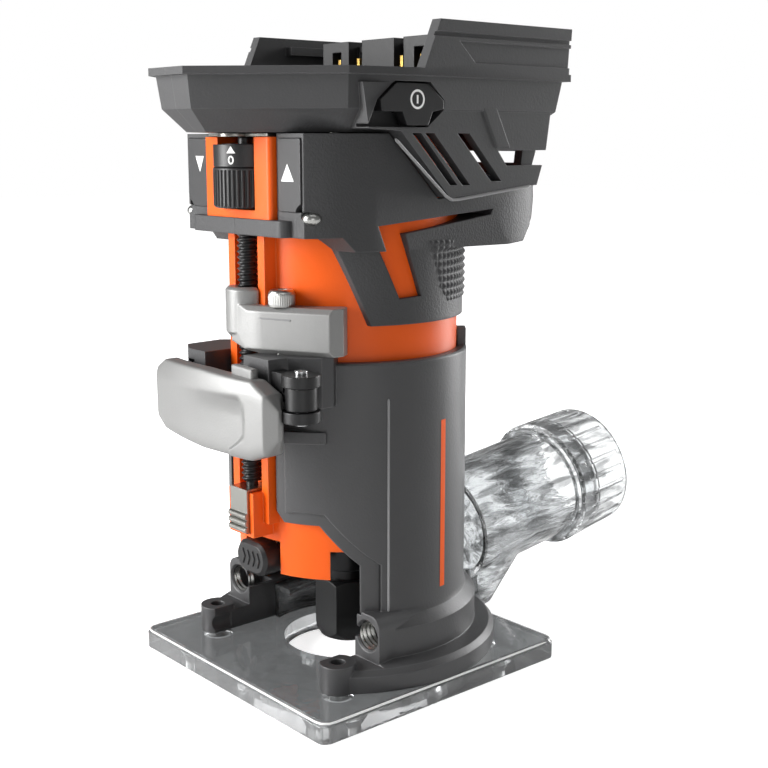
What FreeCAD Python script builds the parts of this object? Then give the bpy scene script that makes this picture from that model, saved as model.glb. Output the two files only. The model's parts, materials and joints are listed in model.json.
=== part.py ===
import FreeCAD, Part
import math
import os
import Sketcher
from types import SimpleNamespace

from FreeCAD import Placement, Rotation, Vector

# A battery trim router.  Millimetres, +Z up along the spindle, -Y is the front
# (dial, clamp lever and collet window), +X the side with the power button.
# The origin is on the spindle axis in the bottom face of the sub-base.

doc = FreeCAD.newDocument("TrimRouter")
sheet = doc.addObject("Spreadsheet::Sheet", "Sizes")


class Size:
    """A length and the sheet formula that gives it, so that sums stay bound to the sheet."""

    def __init__(self, value, formula):
        self.value = value
        self.formula = formula

    def __add__(self, other):
        return Size(self.value + number(other), f"({self.formula} + {formula(other)})")

    def __radd__(self, other):
        return Size(number(other) + self.value, f"({formula(other)} + {self.formula})")

    def __sub__(self, other):
        return Size(self.value - number(other), f"({self.formula} - {formula(other)})")

    def __rsub__(self, other):
        return Size(number(other) - self.value, f"({formula(other)} - {self.formula})")

    def __mul__(self, other):
        return Size(self.value * number(other), f"({self.formula} * {formula(other)})")

    __rmul__ = __mul__

    def __truediv__(self, other):
        return Size(self.value / number(other), f"({self.formula} / {formula(other)})")

    def __neg__(self):
        return Size(-self.value, f"(0 - {self.formula})")


def number(length):
    return length.value if isinstance(length, Size) else float(length)


def formula(length):
    return length.formula if isinstance(length, Size) else repr(float(length))


def driving_sizes(groups):
    """Writes the sheet, one aliased cell to a size, and returns the sizes by name."""
    found = SimpleNamespace()
    row = 1
    for title, sizes in groups.items():
        sheet.set(f"A{row}", title)
        row += 1
        for name, value in sizes.items():
            sheet.set(f"A{row}", name)
            sheet.set(f"B{row}", str(value))
            sheet.setAlias(f"B{row}", name)
            setattr(found, name, Size(float(value), f"Sizes.{name}"))
            row += 1
    doc.recompute()
    return found


d = driving_sizes({
    "Clearances": {
        "shaft_clearance": 0.06,
        "slide_clearance": 0.3,
        "loose_clearance": 0.5,
    },
    "Sub-base": {
        "plate_width": 92,
        "plate_thickness": 6,
        "plate_corner": 3,
        "plate_bevel": 1.2,
        "bit_hole_radius": 20,
        "foot_screw_x": 30.3,
        "foot_screw_y": 28.5,
        "foot_screw_radius": 2.1,
        "foot_screw_head_radius": 4.0,
        "foot_screw_head_height": 2.4,
        "foot_screw_length": 11,
    },
    "Base casting": {
        "flange_radius": 45.5,
        "flange_thickness": 6.3,
        "lobe_radius": 5.2,
        "lobe_top": 14,
        "step_radius": 39.5,
        "step_top": 23,
        "tube_radius": 36,
        "tube_top": 98,
        "mouth_half_width": 21.5,
        "slot_half_width": 9.6,
        "window_half_width": 29.2,
        "window_sill": 25,
        "window_shoulder": 40,
        "window_top": 51.5,
        "window_rim": 3.6,
        "window_rim_depth": 0.9,
        "guide_x": 31.8,
        "guide_boss_half_width": 5.3,
        "guide_boss_front": 19,
        "guide_boss_top": 26,
        "guide_hole_height": 19.6,
        "guide_hole_radius": 4.25,
        "guide_hole_depth": 10,
        "bolt_y": 40.9,
        "bolt_z": 91.5,
        "bolt_radius": 2.2,
        "ear_front": 44.0,
        "ear_outer_x": 21,
        "ear_bottom": 86.5,
        "ear_end_x": 27.5,
        "ear_end_y": 27,
        "lug_tip_x": 25,
    },
    "Depth bracket": {
        "bracket_seat": 100.5,
        "bracket_height": 13,
        "bracket_end_x": 29.4,
        "bracket_end_y": 25,
        "bracket_bevel": 1.4,
        "knuckle_radius": 6.4,
        "knuckle_bottom": 104,
        "knuckle_top": 118,
        "nut_radius": 5,
        "nut_height": 10,
        "cap_screw_x": 14.2,
        "cap_screw_y": 34.2,
        "cap_screw_radius": 2,
        "cap_screw_head_radius": 3.5,
        "cap_screw_head_height": 4.6,
        "cap_screw_length": 20,
    },
    "Clamp lever": {
        "pivot_x": 31.3,
        "pin_radius": 1.75,
        "eye_radius": 4.3,
        "eye_height": 6,
        "hub_radius": 5.2,
        "hub_lug": 3,
        "paddle_sweep": 60,
        "paddle_inner_radius": 106.8,
        "paddle_thickness": 6.4,
        "paddle_half_width": 29.5,
        "paddle_bottom": 74,
        "paddle_top": 96.5,
        "paddle_corner": 8,
        "cam_pad_half_width": 2.3,
    },
    "Dust extraction": {
        "chute_radius": 27.5,
        "chute_wall": 1.8,
        "chute_top": 17,
        "duct_half_width": 12,
        "duct_top": 20,
        "stem_y": 46.5,
        "stem_radius": 11,
        "elbow_y": 58,
        "elbow_z": 34.5,
        "elbow_wall": 2.2,
        "funnel_lean": 25.3,
        "funnel_length": 31.5,
        "funnel_top_radius": 18.2,
        "port_tilt": 7.5,
        "neck_start": 16.6,
        "neck_length": 37,
        "neck_radius": 19,
        "stop_ring_radius": 20.6,
        "collar_radius": 21.8,
        "collar_start": 30,
        "collar_length": 22.6,
        "hose_radius": 19.6,
        "hose_depth": 14,
        "flute_count": 26,
        "flute_radius": 0.9,
    },
    "Motor case": {
        "case_radius": 33,
        "case_wall": 3,
        "foot_block_half_width": 6,
        "foot_block_front": 39.3,
        "case_bottom": 34.9,
        "case_top": 159.2,
        "port_top": 43.3,
        "rib_half_width": 8.6,
        "rib_front": 35.8,
        "channel_half_width": 5.5,
        "channel_floor": 31.9,
        "head_screw_spread": 20,
        "head_screw_radius": 1.5,
        "head_screw_length": 15,
    },
    "Depth screw": {
        "screw_y": 35.3,
        "screw_radius": 3,
        "lower_journal_radius": 1.7,
        "lower_journal_length": 3,
        "top_journal_radius": 2,
        "dial_hub_radius": 6.4,
        "hub_bore_radius": 2.5,
        "screw_bottom": 62,
        "dial_bottom": 139.8,
        "dial_height": 11,
        "dial_radius": 9,
        "dial_rib_count": 40,
        "dial_rib_radius": 0.42,
        "zero_ring_height": 6.2,
        "zero_ring_radius": 8.8,
        "clip_thickness": 0.9,
        "foot_clip_top": 60.4,
        "foot_clip_bottom": 47.5,
    },
    "Head": {
        "tray_rim": 176.5,
        "tray_bottom": 160,
        "tray_half_width": 42.3,
        "tray_rear": 50,
        "tray_nose": 60,
        "tray_nose_half_width": 8.3,
        "tray_bow_x": 38.5,
        "tray_bow_y": 30,
        "tray_shoulder_y": 10,
        "tray_floor": 165,
        "tray_wall": 3.2,
        "bay_half_width": 33,
        "rail_inner_x": 39,
        "rail_lip_x": 36,
        "rail_top": 189.2,
        "rail_thickness": 6.5,
        "rail_front": 8,
        "rail_slope": 6,
        "rail_lip_height": 2.6,
        "pod_half_width": 39,
        "pod_wall": 3,
        "seam_front_y": 13,
        "seam_corner_y": 5,
        "seam_corner_z": 142.5,
        "vent_top": 159.8,
        "vent_lean": 0.98,
    },
    "Grip": {
        "grip_thickness": 1.6,
        "grip_bottom": 108,
        "collar_bottom": 131,
        "chin_front": 36.4,
        "chin_half_width": 27.5,
        "chin_bottom": 132.6,
        "chin_lip_front": 39.4,
        "chin_lip_top": 137,
        "chin_lip_half_width": 22,
        "chin_screw_radius": 1.3,
        "chin_screw_z": 138.4,
        "chin_head_radius": 3.2,
        "grip_half_width": 34.6,
        "grip_rear": 54,
        "tail_half_width": 25,
        "panel_inner_x": 17,
        "panel_outer_x": 26.7,
        "panel_bottom": 139.4,
        "panel_top": 158.4,
        "panel_thickness": 1.4,
        "frame_half_width": 15.6,
        "frame_front": 38.6,
        "frame_window_half_width": 8.7,
    },
    "Spindle": {
        "spindle_radius": 6,
        "spindle_top": 130,
        "upper_journal_radius": 4,
        "flange_spindle_radius": 8.5,
        "flange_spindle_top": 39,
        "nose_radius": 7,
        "nut_bottom": 6,
        "collet_nut_height": 19.5,
        "collet_nut_across": 17.5,
        "collet_bore_radius": 3.175,
        "collet_radius": 4.9,
        "lower_bearing_bottom": 40,
        "lower_bearing_radius": 14,
        "lower_bearing_width": 8,
        "upper_bearing_bottom": 121,
        "upper_bearing_radius": 11,
        "upper_bearing_width": 7,
        "plate_radius": 29.8,
        "fan_bottom": 51.5,
        "fan_height": 10,
        "fan_radius": 27,
        "rotor_radius": 13.6,
        "stator_bore": 14.2,
        "stator_radius": 27.6,
        "stack_bottom": 70,
        "stack_height": 32,
        "winding_height": 7,
    },
    "Spindle lock": {
        "lock_z": 36,
        "lock_face": 36.6,
        "lock_cap_z": 38.6,
        "lock_cap_half_width": 7.3,
        "lock_cap_half_height": 5,
        "lock_cap_length": 6.3,
        "leg_outer_x": 15.6,
        "leg_rear": 22,
        "lock_pin_radius": 2,
        "lock_pin_tip": 13.4,
        "lock_guide_front": 24.6,
        "lock_spring_radius": 3.4,
        "lock_spring_wire": 0.6,
    },
    "Power button": {
        "button_face": 39.8,
        "button_thickness": 3.2,
        "button_floor": 34,
        "button_gap": 0.5,
        "switch_thickness": 0.8,
    },
    "Electrics": {
        "terminal_half_width": 24.7,
        "terminal_front": 11.6,
        "terminal_depth": 10,
        "terminal_top": 187,
        "blade_thickness": 1.2,
        "blade_depth": 6,
        "board_z": 141,
        "board_half_width": 20,
        "board_front": 17,
        "board_rear": 21,
        "board_thickness": 1.6,
        "lead_y": 17.5,
        "lead_radius": 0.9,
    },
})

UP = Vector(0, 0, 1)
EDGE_CLOSE = 0.02
WHOLE = 400
kept = []


# ---------------------------------------------------------------- small makers

def bind(thing, name, length):
    """Binds one property of an object to the sheet."""
    if isinstance(length, Size):
        thing.setExpression(name, length.formula)
    else:
        setattr(thing, name, length)


def place(thing, at=(0, 0, 0), turn=None):
    """Puts an object at a place, each coordinate bound to the sheet."""
    thing.Placement = Placement(Vector(*[number(v) for v in at]), turn or Rotation())
    for axis, v in zip("xyz", at):
        if isinstance(v, Size):
            thing.setExpression(f"Placement.Base.{axis}", v.formula)
    return thing


ALONG = {
    "+Z": Rotation(),
    "-Z": Rotation(Vector(1, 0, 0), 180),
    "+X": Rotation(Vector(0, 1, 0), 90),
    "+Y": Rotation(Vector(1, 0, 0), -90),
    "-Y": Rotation(Vector(1, 0, 0), 90),
}


def box(name, low, high):
    """A block between two corners."""
    thing = doc.addObject("Part::Box", name)
    for side, start, end in zip(("Length", "Width", "Height"), low, high):
        bind(thing, side, end - start if isinstance(end - start, Size) else float(end - start))
    return place(thing, low)


def rod(name, radius, length, at=(0, 0, 0), along="+Z", turn=None):
    thing = doc.addObject("Part::Cylinder", name)
    bind(thing, "Radius", radius)
    bind(thing, "Height", length)
    return place(thing, at, turn or ALONG[along])


def cone(name, radius_one, radius_two, length, at=(0, 0, 0), along="+Z", turn=None):
    thing = doc.addObject("Part::Cone", name)
    bind(thing, "Radius1", radius_one)
    bind(thing, "Radius2", radius_two)
    bind(thing, "Height", length)
    return place(thing, at, turn or ALONG[along])


def ball(name, radius, at=(0, 0, 0)):
    thing = doc.addObject("Part::Sphere", name)
    bind(thing, "Radius", radius)
    return place(thing, at)


def ring(name, ring_radius, wire_radius, at=(0, 0, 0), turn=None):
    thing = doc.addObject("Part::Torus", name)
    bind(thing, "Radius1", ring_radius)
    bind(thing, "Radius2", wire_radius)
    return place(thing, at, turn)


def hexagon(name, across, length, at):
    thing = doc.addObject("Part::Prism", name)
    thing.Polygon = 6
    bind(thing, "Circumradius", across / math.sqrt(3))
    bind(thing, "Height", length)
    return place(thing, at)


PLANES = {
    "XY": Rotation(),
    "XZ": Rotation(Vector(1, 0, 0), 90),
    "YZ": Rotation(Vector(1, 1, 1), 120),
}


def outline(name, points, plane="XY", at=(0, 0, 0)):
    """A closed polygon sketch, each corner bound to the sheet."""
    sketch = doc.addObject("Sketcher::SketchObject", name)
    corners = [Vector(number(x), number(y), 0) for x, y in points]
    count = len(corners)
    for i in range(count):
        sketch.addGeometry(Part.LineSegment(corners[i], corners[(i + 1) % count]), False)
    for i in range(count):
        sketch.addConstraint(Sketcher.Constraint("Coincident", i, 2, (i + 1) % count, 1))
    for i, corner in enumerate(points):
        for kind, v in zip(("DistanceX", "DistanceY"), corner):
            index = sketch.addConstraint(Sketcher.Constraint(kind, -1, 1, i, 1, number(v)))
            if isinstance(v, Size):
                sketch.setExpression(f"Constraints[{index}]", v.formula)
    return place(sketch, at, PLANES[plane])


def slab(name, points, length, plane="XY", at=(0, 0, 0)):
    """A polygon pushed along its plane's normal: +Z for XY, -Y for XZ, +X for YZ."""
    sketch = outline(name + "_outline", points, plane, at)
    thing = doc.addObject("Part::Extrusion", name)
    thing.Base = sketch
    thing.DirMode = "Normal"
    thing.Solid = True
    bind(thing, "LengthFwd", length)
    return thing


def turned(name, points, at=(0, 0, 0), turn=None):
    """A profile of (radius, height) corners turned about the vertical axis through a place."""
    sketch = outline(name + "_profile", points, "XZ")
    thing = doc.addObject("Part::Revolution", name)
    thing.Source = sketch
    thing.Axis = Vector(0, 0, 1)
    thing.Base = Vector(0, 0, 0)
    thing.Angle = 360
    thing.Solid = True
    return place(thing, at, turn)


def join(name, *things, refine=True):
    thing = doc.addObject("Part::MultiFuse", name)
    thing.Shapes = list(things)
    thing.Refine = refine
    return thing


def cut(name, base, *tools):
    """The base less every tool, one after another."""
    for i, tool in enumerate(tools):
        last = i == len(tools) - 1
        thing = doc.addObject("Part::Cut", name if last else f"{name}_step_{i}")
        thing.Base = base
        thing.Tool = tool
        thing.Refine = last
        base = thing
    return base


def overlap(name, *things):
    thing = doc.addObject("Part::MultiCommon", name)
    thing.Shapes = list(things)
    return thing


def group(name, *things):
    """Separate solids kept in one node."""
    thing = doc.addObject("Part::Compound", name)
    thing.Links = list(things)
    return thing


def spun(name, thing, angle):
    """The same shape turned about the spindle axis."""
    copy = group(name, thing)
    copy.Placement = Placement(Vector(), Rotation(UP, angle))
    return copy


def mirrored(name, thing, normal=Vector(1, 0, 0)):
    copy = doc.addObject("Part::Mirroring", name)
    copy.Source = thing
    copy.Base = Vector(0, 0, 0)
    copy.Normal = normal
    return copy


def eased(name, base, radius, wanted, kind="Part::Fillet"):
    """Rounds (or chamfers) the edges of the base that the test picks."""
    doc.recompute()
    edges = [i + 1 for i, edge in enumerate(base.Shape.Edges) if wanted(edge)]
    thing = doc.addObject(kind, name)
    thing.Base = base
    thing.Edges = [(i, number(radius), number(radius)) for i in edges]
    return thing


def keep(node, thing):
    """Names a finished sub-part."""
    thing.Label = node
    kept.append(thing)
    return thing


def halves(node, thing):
    """A clamshell: the same body parted on the plane x = 0."""
    right = box(node + "_right_side", (0, -WHOLE, -WHOLE), (WHOLE, WHOLE, WHOLE))
    left = box(node + "_left_side", (-WHOLE, -WHOLE, -WHOLE), (0, WHOLE, WHOLE))
    keep(node + "_right", overlap(node + "_half_right", thing, right))
    keep(node + "_left", overlap(node + "_half_left", thing, left))


def both_sides(points):
    """Closes the right half of a symmetric outline with its mirror image."""
    return list(points) + [(-x, y) for x, y in reversed(points)]


def lies_along(edge, direction):
    """True for a straight edge parallel to a direction."""
    if edge.Curve.TypeId != "Part::GeomLine":
        return False
    return edge.Curve.Direction.cross(direction).Length < EDGE_CLOSE


# ------------------------------------------------------------------- sub-base

def sub_base():
    half = d.plate_width / 2
    plate = box("plate_block", (-half, -half, 0), (half, half, d.plate_thickness))
    rounded = eased("plate_rounded", plate, d.plate_corner, lambda e: lies_along(e, UP))
    top = d.plate_thickness.value
    bevelled = eased("plate_bevelled", rounded, d.plate_bevel,
                     lambda e: abs(e.BoundBox.ZMin - top) < EDGE_CLOSE, "Part::Chamfer")
    tools = [rod("bit_hole", d.bit_hole_radius, d.plate_thickness * 3, (0, 0, -d.plate_thickness))]
    for i, (x, y) in enumerate(foot_screw_places()):
        tools.append(rod(f"plate_screw_hole_{i}", d.foot_screw_radius + d.slide_clearance,
                         d.plate_thickness * 3, (x, y, -d.plate_thickness)))
        tools.append(cone(f"plate_countersink_{i}", d.foot_screw_head_radius + d.slide_clearance * 2,
                          d.foot_screw_radius, d.foot_screw_head_height + d.slide_clearance,
                          (x, y, 0)))
    keep("sub_base", cut("sub_base_plate", bevelled, *tools))


def foot_screw_places():
    return [(sx * d.foot_screw_x, sy * d.foot_screw_y) for sx in (1, -1) for sy in (1, -1)]


def sub_base_screws():
    screws = []
    for i, (x, y) in enumerate(foot_screw_places()):
        head = cone(f"foot_head_{i}", d.foot_screw_head_radius, d.foot_screw_radius,
                    d.foot_screw_head_height, (x, y, d.slide_clearance))
        shank = rod(f"foot_shank_{i}", d.foot_screw_radius, d.foot_screw_length,
                    (x, y, d.slide_clearance))
        driver = rod(f"foot_driver_{i}", d.foot_screw_radius * 0.7, d.foot_screw_head_height,
                     (x, y, 0))
        screws.append(cut(f"foot_screw_{i}", join(f"foot_blank_{i}", head, shank), driver))
    keep("sub_base_screws", group("sub_base_screw_set", *screws))


# --------------------------------------------------------------- base casting

def window_outline(out=0):
    """Front opening of the casting: the screw slot above, the collet window below."""
    side = d.slot_half_width + out
    wide = d.window_half_width + out
    foot = d.guide_x - d.guide_boss_half_width
    return both_sides([
        (side, d.tube_top + 20),
        (side, d.window_top + 3),
        (side + 2.5, d.window_top + out),
        (d.mouth_half_width + out * 0.5, d.window_top + out),
        (wide, d.window_shoulder),
        (wide, d.window_sill),
        (foot, d.window_sill),
        (foot, -d.plate_thickness),
    ])


def ear_outline():
    """Right clamp ear and the shelf beside it that carries the depth bracket."""
    return [
        (d.slot_half_width, -d.case_radius),
        (d.slot_half_width, -d.ear_front),
        (d.ear_outer_x, -d.ear_front),
        (d.ear_outer_x, -(d.ear_front - 6.5)),
        (d.ear_end_x, -(d.ear_end_y + 4)),
        (d.ear_end_x, -d.ear_end_y),
        (d.ear_end_x - 3, -(d.ear_end_y - 4)),
        (d.tube_radius / 2, -(d.tube_radius / 2)),
    ]


def lug_outline():
    """Left clamp ear, drawn out to a blunt point."""
    return [
        (-d.slot_half_width, -d.case_radius),
        (-d.slot_half_width, -d.ear_front),
        (-(d.lug_tip_x - 7), -d.ear_front),
        (-d.lug_tip_x, -(d.ear_front - 4)),
        (-(d.lug_tip_x + 1), -(d.tube_radius - 8)),
        (-d.tube_radius / 2, -(d.tube_radius / 2)),
    ]


def base_casting():
    seat = d.plate_thickness
    flange_top = seat + d.flange_thickness
    body = turned("flange", [
        (0, seat), (d.flange_radius, seat), (d.flange_radius, flange_top - 1.5),
        (d.flange_radius - 1.5, flange_top), (d.step_radius, flange_top + 0.8),
        (d.step_radius, d.step_top - 1.5), (d.step_radius - 1.5, d.step_top),
        (d.tube_radius + 0.6, d.step_top + 1.2), (d.tube_radius, d.step_top + 3),
        (d.tube_radius, d.tube_top - 0.6), (d.tube_radius - 0.6, d.tube_top), (0, d.tube_top),
    ])
    ahead = box("flange_ahead", (-WHOLE, -WHOLE, 0), (WHOLE, -d.foot_screw_y, flange_top + 0.8))
    step_ahead = box("step_ahead", (-WHOLE, -WHOLE, flange_top),
                     (WHOLE, -d.guide_boss_front, d.step_top + 3))
    rim_room = cut("rim_room",
                   slab("rim_outline", window_outline(d.window_rim), WHOLE, "XZ"),
                   rod("rim_floor", d.tube_radius - d.window_rim_depth, WHOLE))
    rim_band = overlap("rim_band", rim_room,
                       box("rim_height", (-WHOLE, -WHOLE, d.step_top + 3),
                           (WHOLE, 0, d.ear_bottom - 6)))
    solids = [cut("flange_trimmed", body, ahead, step_ahead, rim_band)]
    for side, sx in (("right", 1), ("left", -1)):
        x = sx * d.foot_screw_x
        solids.append(rod(f"lobe_{side}", d.lobe_radius, d.lobe_top - seat,
                          (x, -d.foot_screw_y, seat)))
        inner, outer = d.guide_x - d.guide_boss_half_width, d.guide_x + d.guide_boss_half_width
        low, high = sorted((sx * inner, sx * outer), key=number)
        boss = box(f"guide_boss_{side}", (low, -d.guide_boss_front, seat),
                   (high, 0, d.guide_boss_top))
        solids.append(eased(f"guide_boss_round_{side}", boss, 3.5,
                            lambda e: lies_along(e, Vector(0, 1, 0)) and e.BoundBox.ZMin > 20))
    ear_height = d.bracket_seat - d.ear_bottom
    solids.append(slab("clamp_ear", ear_outline(), ear_height, "XY", (0, 0, d.ear_bottom)))
    solids.append(slab("clamp_lug", lug_outline(), ear_height - 1.5, "XY", (0, 0, d.ear_bottom)))
    solids.append(slab("lever_ledge", [
        (d.slot_half_width, -d.case_radius), (d.slot_half_width, -(d.tube_radius + 2)),
        (d.ear_outer_x - 7, -(d.tube_radius + 1)), (d.ear_end_x - 3, -(d.ear_end_y + 0.4)),
        (d.ear_outer_x, -d.ear_end_y)], 3.4, "XY", (0, 0, d.paddle_bottom + 1.4)))
    tab = box("rear_tab", (-3, d.tube_radius - 3, d.tube_top - 1),
              (3, d.tube_radius - 0.3, d.tube_top + 5))
    solids.append(spun("rear_tab_turned", tab, -41))
    blank = join("casting_blank", *solids)

    tools = [
        rod("casting_bore", d.case_radius + d.slide_clearance, WHOLE,
            (0, 0, d.chute_top + d.loose_clearance * 2)),
        rod("casting_foot_bore", d.chute_radius + d.slide_clearance, WHOLE, (0, 0, 0)),
        slab("casting_window", window_outline(), WHOLE, "XZ"),
        box("casting_duct", (-(d.duct_half_width + d.slide_clearance), 0, 0),
            (d.duct_half_width + d.slide_clearance, d.tube_radius + 20,
             d.duct_top + d.slide_clearance)),
        funnel("casting_funnel_room", d.slide_clearance),
        rod("bolt_hole", d.bolt_radius + d.slide_clearance, WHOLE,
            (-WHOLE / 2, -d.bolt_y, d.bolt_z), "+X"),
        box("lug_pocket", (-(d.lug_tip_x - 4), -WHOLE, d.bolt_z - 4.6),
            (-(d.slot_half_width + 5.5), -(d.bolt_y - 4.4), d.bolt_z + 4.6)),
    ]
    for side, sx in (("right", 1), ("left", -1)):
        x, hole_x = sx * d.foot_screw_x, sx * d.guide_x
        mouth = (hole_x, -d.guide_boss_front, d.guide_hole_height)
        tools.append(rod(f"guide_hole_{side}", d.guide_hole_radius, d.guide_hole_depth,
                         mouth, "+Y"))
        tools.append(cone(f"guide_chamfer_{side}", d.guide_hole_radius + 0.6,
                          d.guide_hole_radius, 0.6, mouth, "+Y"))
        tools.append(rod(f"lobe_screw_hole_{side}", d.foot_screw_radius, WHOLE,
                         (x, -d.foot_screw_y, 0)))
        tools.append(rod(f"rear_screw_hole_{side}", d.foot_screw_radius, d.foot_screw_length + 1,
                         (x, d.foot_screw_y, 0)))
        notch_x = sx * (d.foot_screw_x - d.lobe_radius - 1.6)
        tools.append(rod(f"lobe_notch_{side}", 3.8, 16, (notch_x, -42, seat + 3.2), "+Y"))
    tools.append(rod("cap_screw_hole", d.cap_screw_radius, d.cap_screw_length,
                     (d.cap_screw_x, -d.cap_screw_y, d.bracket_seat - 9)))
    keep("base_casting", cut("casting", blank, *tools))


# -------------------------------------------------------------- depth bracket

def bracket_outline():
    return [
        (0, -(d.screw_y + d.knuckle_radius - 0.6)),
        (d.slot_half_width - 2.4, -(d.screw_y + d.knuckle_radius - 0.7)),
        (d.slot_half_width + 2.4, -(d.screw_y + 4)),
        (d.bracket_end_x, -(d.bracket_end_y + 4.8)),
        (d.bracket_end_x, -d.bracket_end_y),
        (d.bracket_end_x - 2, -(d.bracket_end_y - 3)),
        (d.tube_radius / 2, -(d.tube_radius / 2)),
        (0, -(d.tube_radius / 2)),
    ]


def bracket_clearance(name):
    """Room for the motor case and its front rib to slide past."""
    low = -WHOLE / 2
    case = rod(name + "_case", d.case_radius + d.slide_clearance * 2, WHOLE, (0, 0, low))
    rib = d.rib_half_width + d.loose_clearance
    block = box(name + "_rib", (-rib, -(d.rib_front + d.loose_clearance), low), (rib, 0, WHOLE))
    beyond = box(name + "_beyond", (-WHOLE, -(d.rib_front + d.loose_clearance), low),
                 (-d.slot_half_width / 2, WHOLE, WHOLE))
    return [case, block, beyond]


def depth_bracket():
    top = d.bracket_seat + d.bracket_height
    body = slab("bracket_body", bracket_outline(), d.bracket_height, "XY",
                (0, 0, d.bracket_seat))
    body = eased("bracket_bevelled", body, d.bracket_bevel,
                 lambda e: e.BoundBox.ZLength < EDGE_CLOSE and e.BoundBox.YMax < -28
                 and e.BoundBox.XMax > 10, "Part::Chamfer")
    knuckle = turned("knuckle", [
        (0, d.knuckle_bottom - 1), (d.knuckle_radius - 2, d.knuckle_bottom - 1),
        (d.knuckle_radius, d.knuckle_bottom + 1.5), (d.knuckle_radius, d.knuckle_top - 0.8),
        (d.knuckle_radius - 0.8, d.knuckle_top), (0, d.knuckle_top),
    ], (0, -d.screw_y, 0))
    under = slab("bracket_under", [
        (-WHOLE, -WHOLE), (-WHOLE, d.knuckle_bottom - 1), (0.5, d.knuckle_bottom - 1),
        (d.slot_half_width, d.bracket_seat), (d.slot_half_width, -WHOLE)], WHOLE, "XZ")
    body = cut("bracket_trimmed", body, under)
    tools = bracket_clearance("bracket")
    pocket_low = (d.knuckle_bottom + d.knuckle_top - d.nut_height) / 2
    tools += [
        rod("bracket_screw_way", d.screw_radius + d.loose_clearance, WHOLE,
            (0, -d.screw_y, d.bracket_seat - 10)),
        rod("bracket_nut_pocket", d.nut_radius, d.nut_height, (0, -d.screw_y, pocket_low)),
        rod("bracket_cap_hole", d.cap_screw_radius + d.slide_clearance, WHOLE,
            (d.cap_screw_x, -d.cap_screw_y, d.bracket_seat - 10)),
    ]
    keep("depth_bracket", cut("bracket", join("bracket_blank", body, knuckle), *tools))


def depth_nut():
    low = (d.knuckle_bottom + d.knuckle_top - d.nut_height) / 2
    blank = rod("nut_blank", d.nut_radius, d.nut_height, (0, -d.screw_y, low))
    way = rod("nut_way", d.screw_radius + d.shaft_clearance, WHOLE, (0, -d.screw_y, 0))
    keep("depth_nut", cut("half_nut", blank, way, *bracket_clearance("nut")))


def bracket_cap_screw():
    x, y = d.cap_screw_x, -d.cap_screw_y
    top = d.bracket_seat + d.bracket_height
    head = rod("cap_head", d.cap_screw_head_radius, d.cap_screw_head_height, (x, y, top))
    shank = rod("cap_shank", d.cap_screw_radius, d.cap_screw_length,
                (x, y, top - d.cap_screw_length))
    socket = hexagon("cap_socket", d.cap_screw_radius * 1.5, d.cap_screw_head_height,
                     (x, y, top + d.cap_screw_head_height / 2))
    eased_head = eased("cap_head_eased", head, 0.5,
                       lambda e: e.BoundBox.ZMin > number(top) + 1, "Part::Chamfer")
    keep("bracket_cap_screw", cut("cap_screw", join("cap_blank", eased_head, shank), socket))


# ---------------------------------------------------------------------- clamp

def clamp_bolt():
    x, y, z = d.pivot_x, -d.bolt_y, d.bolt_z
    eye = rod("bolt_eye", d.eye_radius, d.eye_height, (x, y, z - d.eye_height / 2))
    end_x = d.lug_tip_x - 4.5
    shaft = rod("bolt_shaft", d.bolt_radius, x + end_x, (-end_x, y, z), "+X")
    hole = rod("eye_hole", d.pin_radius + d.shaft_clearance, WHOLE, (x, y, 0))
    keep("clamp_bolt", cut("eye_bolt", join("bolt_blank", shaft, eye), hole))


def clamp_nut():
    length = 3.6
    start = d.slot_half_width + 5.5 + length
    nut = doc.addObject("Part::Prism", "clamp_nut_blank")
    nut.Polygon = 6
    bind(nut, "Circumradius", d.bolt_radius * 1.8)
    bind(nut, "Height", length)
    place(nut, (-start, -d.bolt_y, d.bolt_z), ALONG["+X"])
    hole = rod("clamp_nut_hole", d.bolt_radius, WHOLE, (-WHOLE / 2, -d.bolt_y, d.bolt_z), "+X")
    keep("clamp_nut", cut("clamp_nut_ring", nut, hole))


def clamp_cam_pad():
    """Wear block between the right ear and the lever's round hinge ends."""
    reach = d.eye_height / 2 + d.hub_lug
    keep("clamp_cam_pad", cut(
        "cam_pad",
        box("pad_blank", (d.ear_outer_x, -(d.bolt_y + d.cam_pad_half_width), d.bolt_z - reach),
            (d.pivot_x - 2, -(d.bolt_y - d.cam_pad_half_width), d.bolt_z + reach)),
        rod("pad_hole", d.bolt_radius + d.slide_clearance, WHOLE, (0, -d.bolt_y, d.bolt_z), "+X"),
        rod("pad_hub_room", d.hub_radius + d.slide_clearance, WHOLE,
            (d.pivot_x, -d.bolt_y, 0))))


def paddle_plan():
    """Lever seen from above, its front corners drawn back to narrow end faces."""
    wide = d.paddle_half_width
    back = d.paddle_inner_radius - d.paddle_sweep
    return both_sides([
        (wide, -(back - 6)), (wide, -(back + 0.4)), (wide - 4.4, -(back + 4.6)),
        (wide - 12, -(back + 12))])


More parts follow.
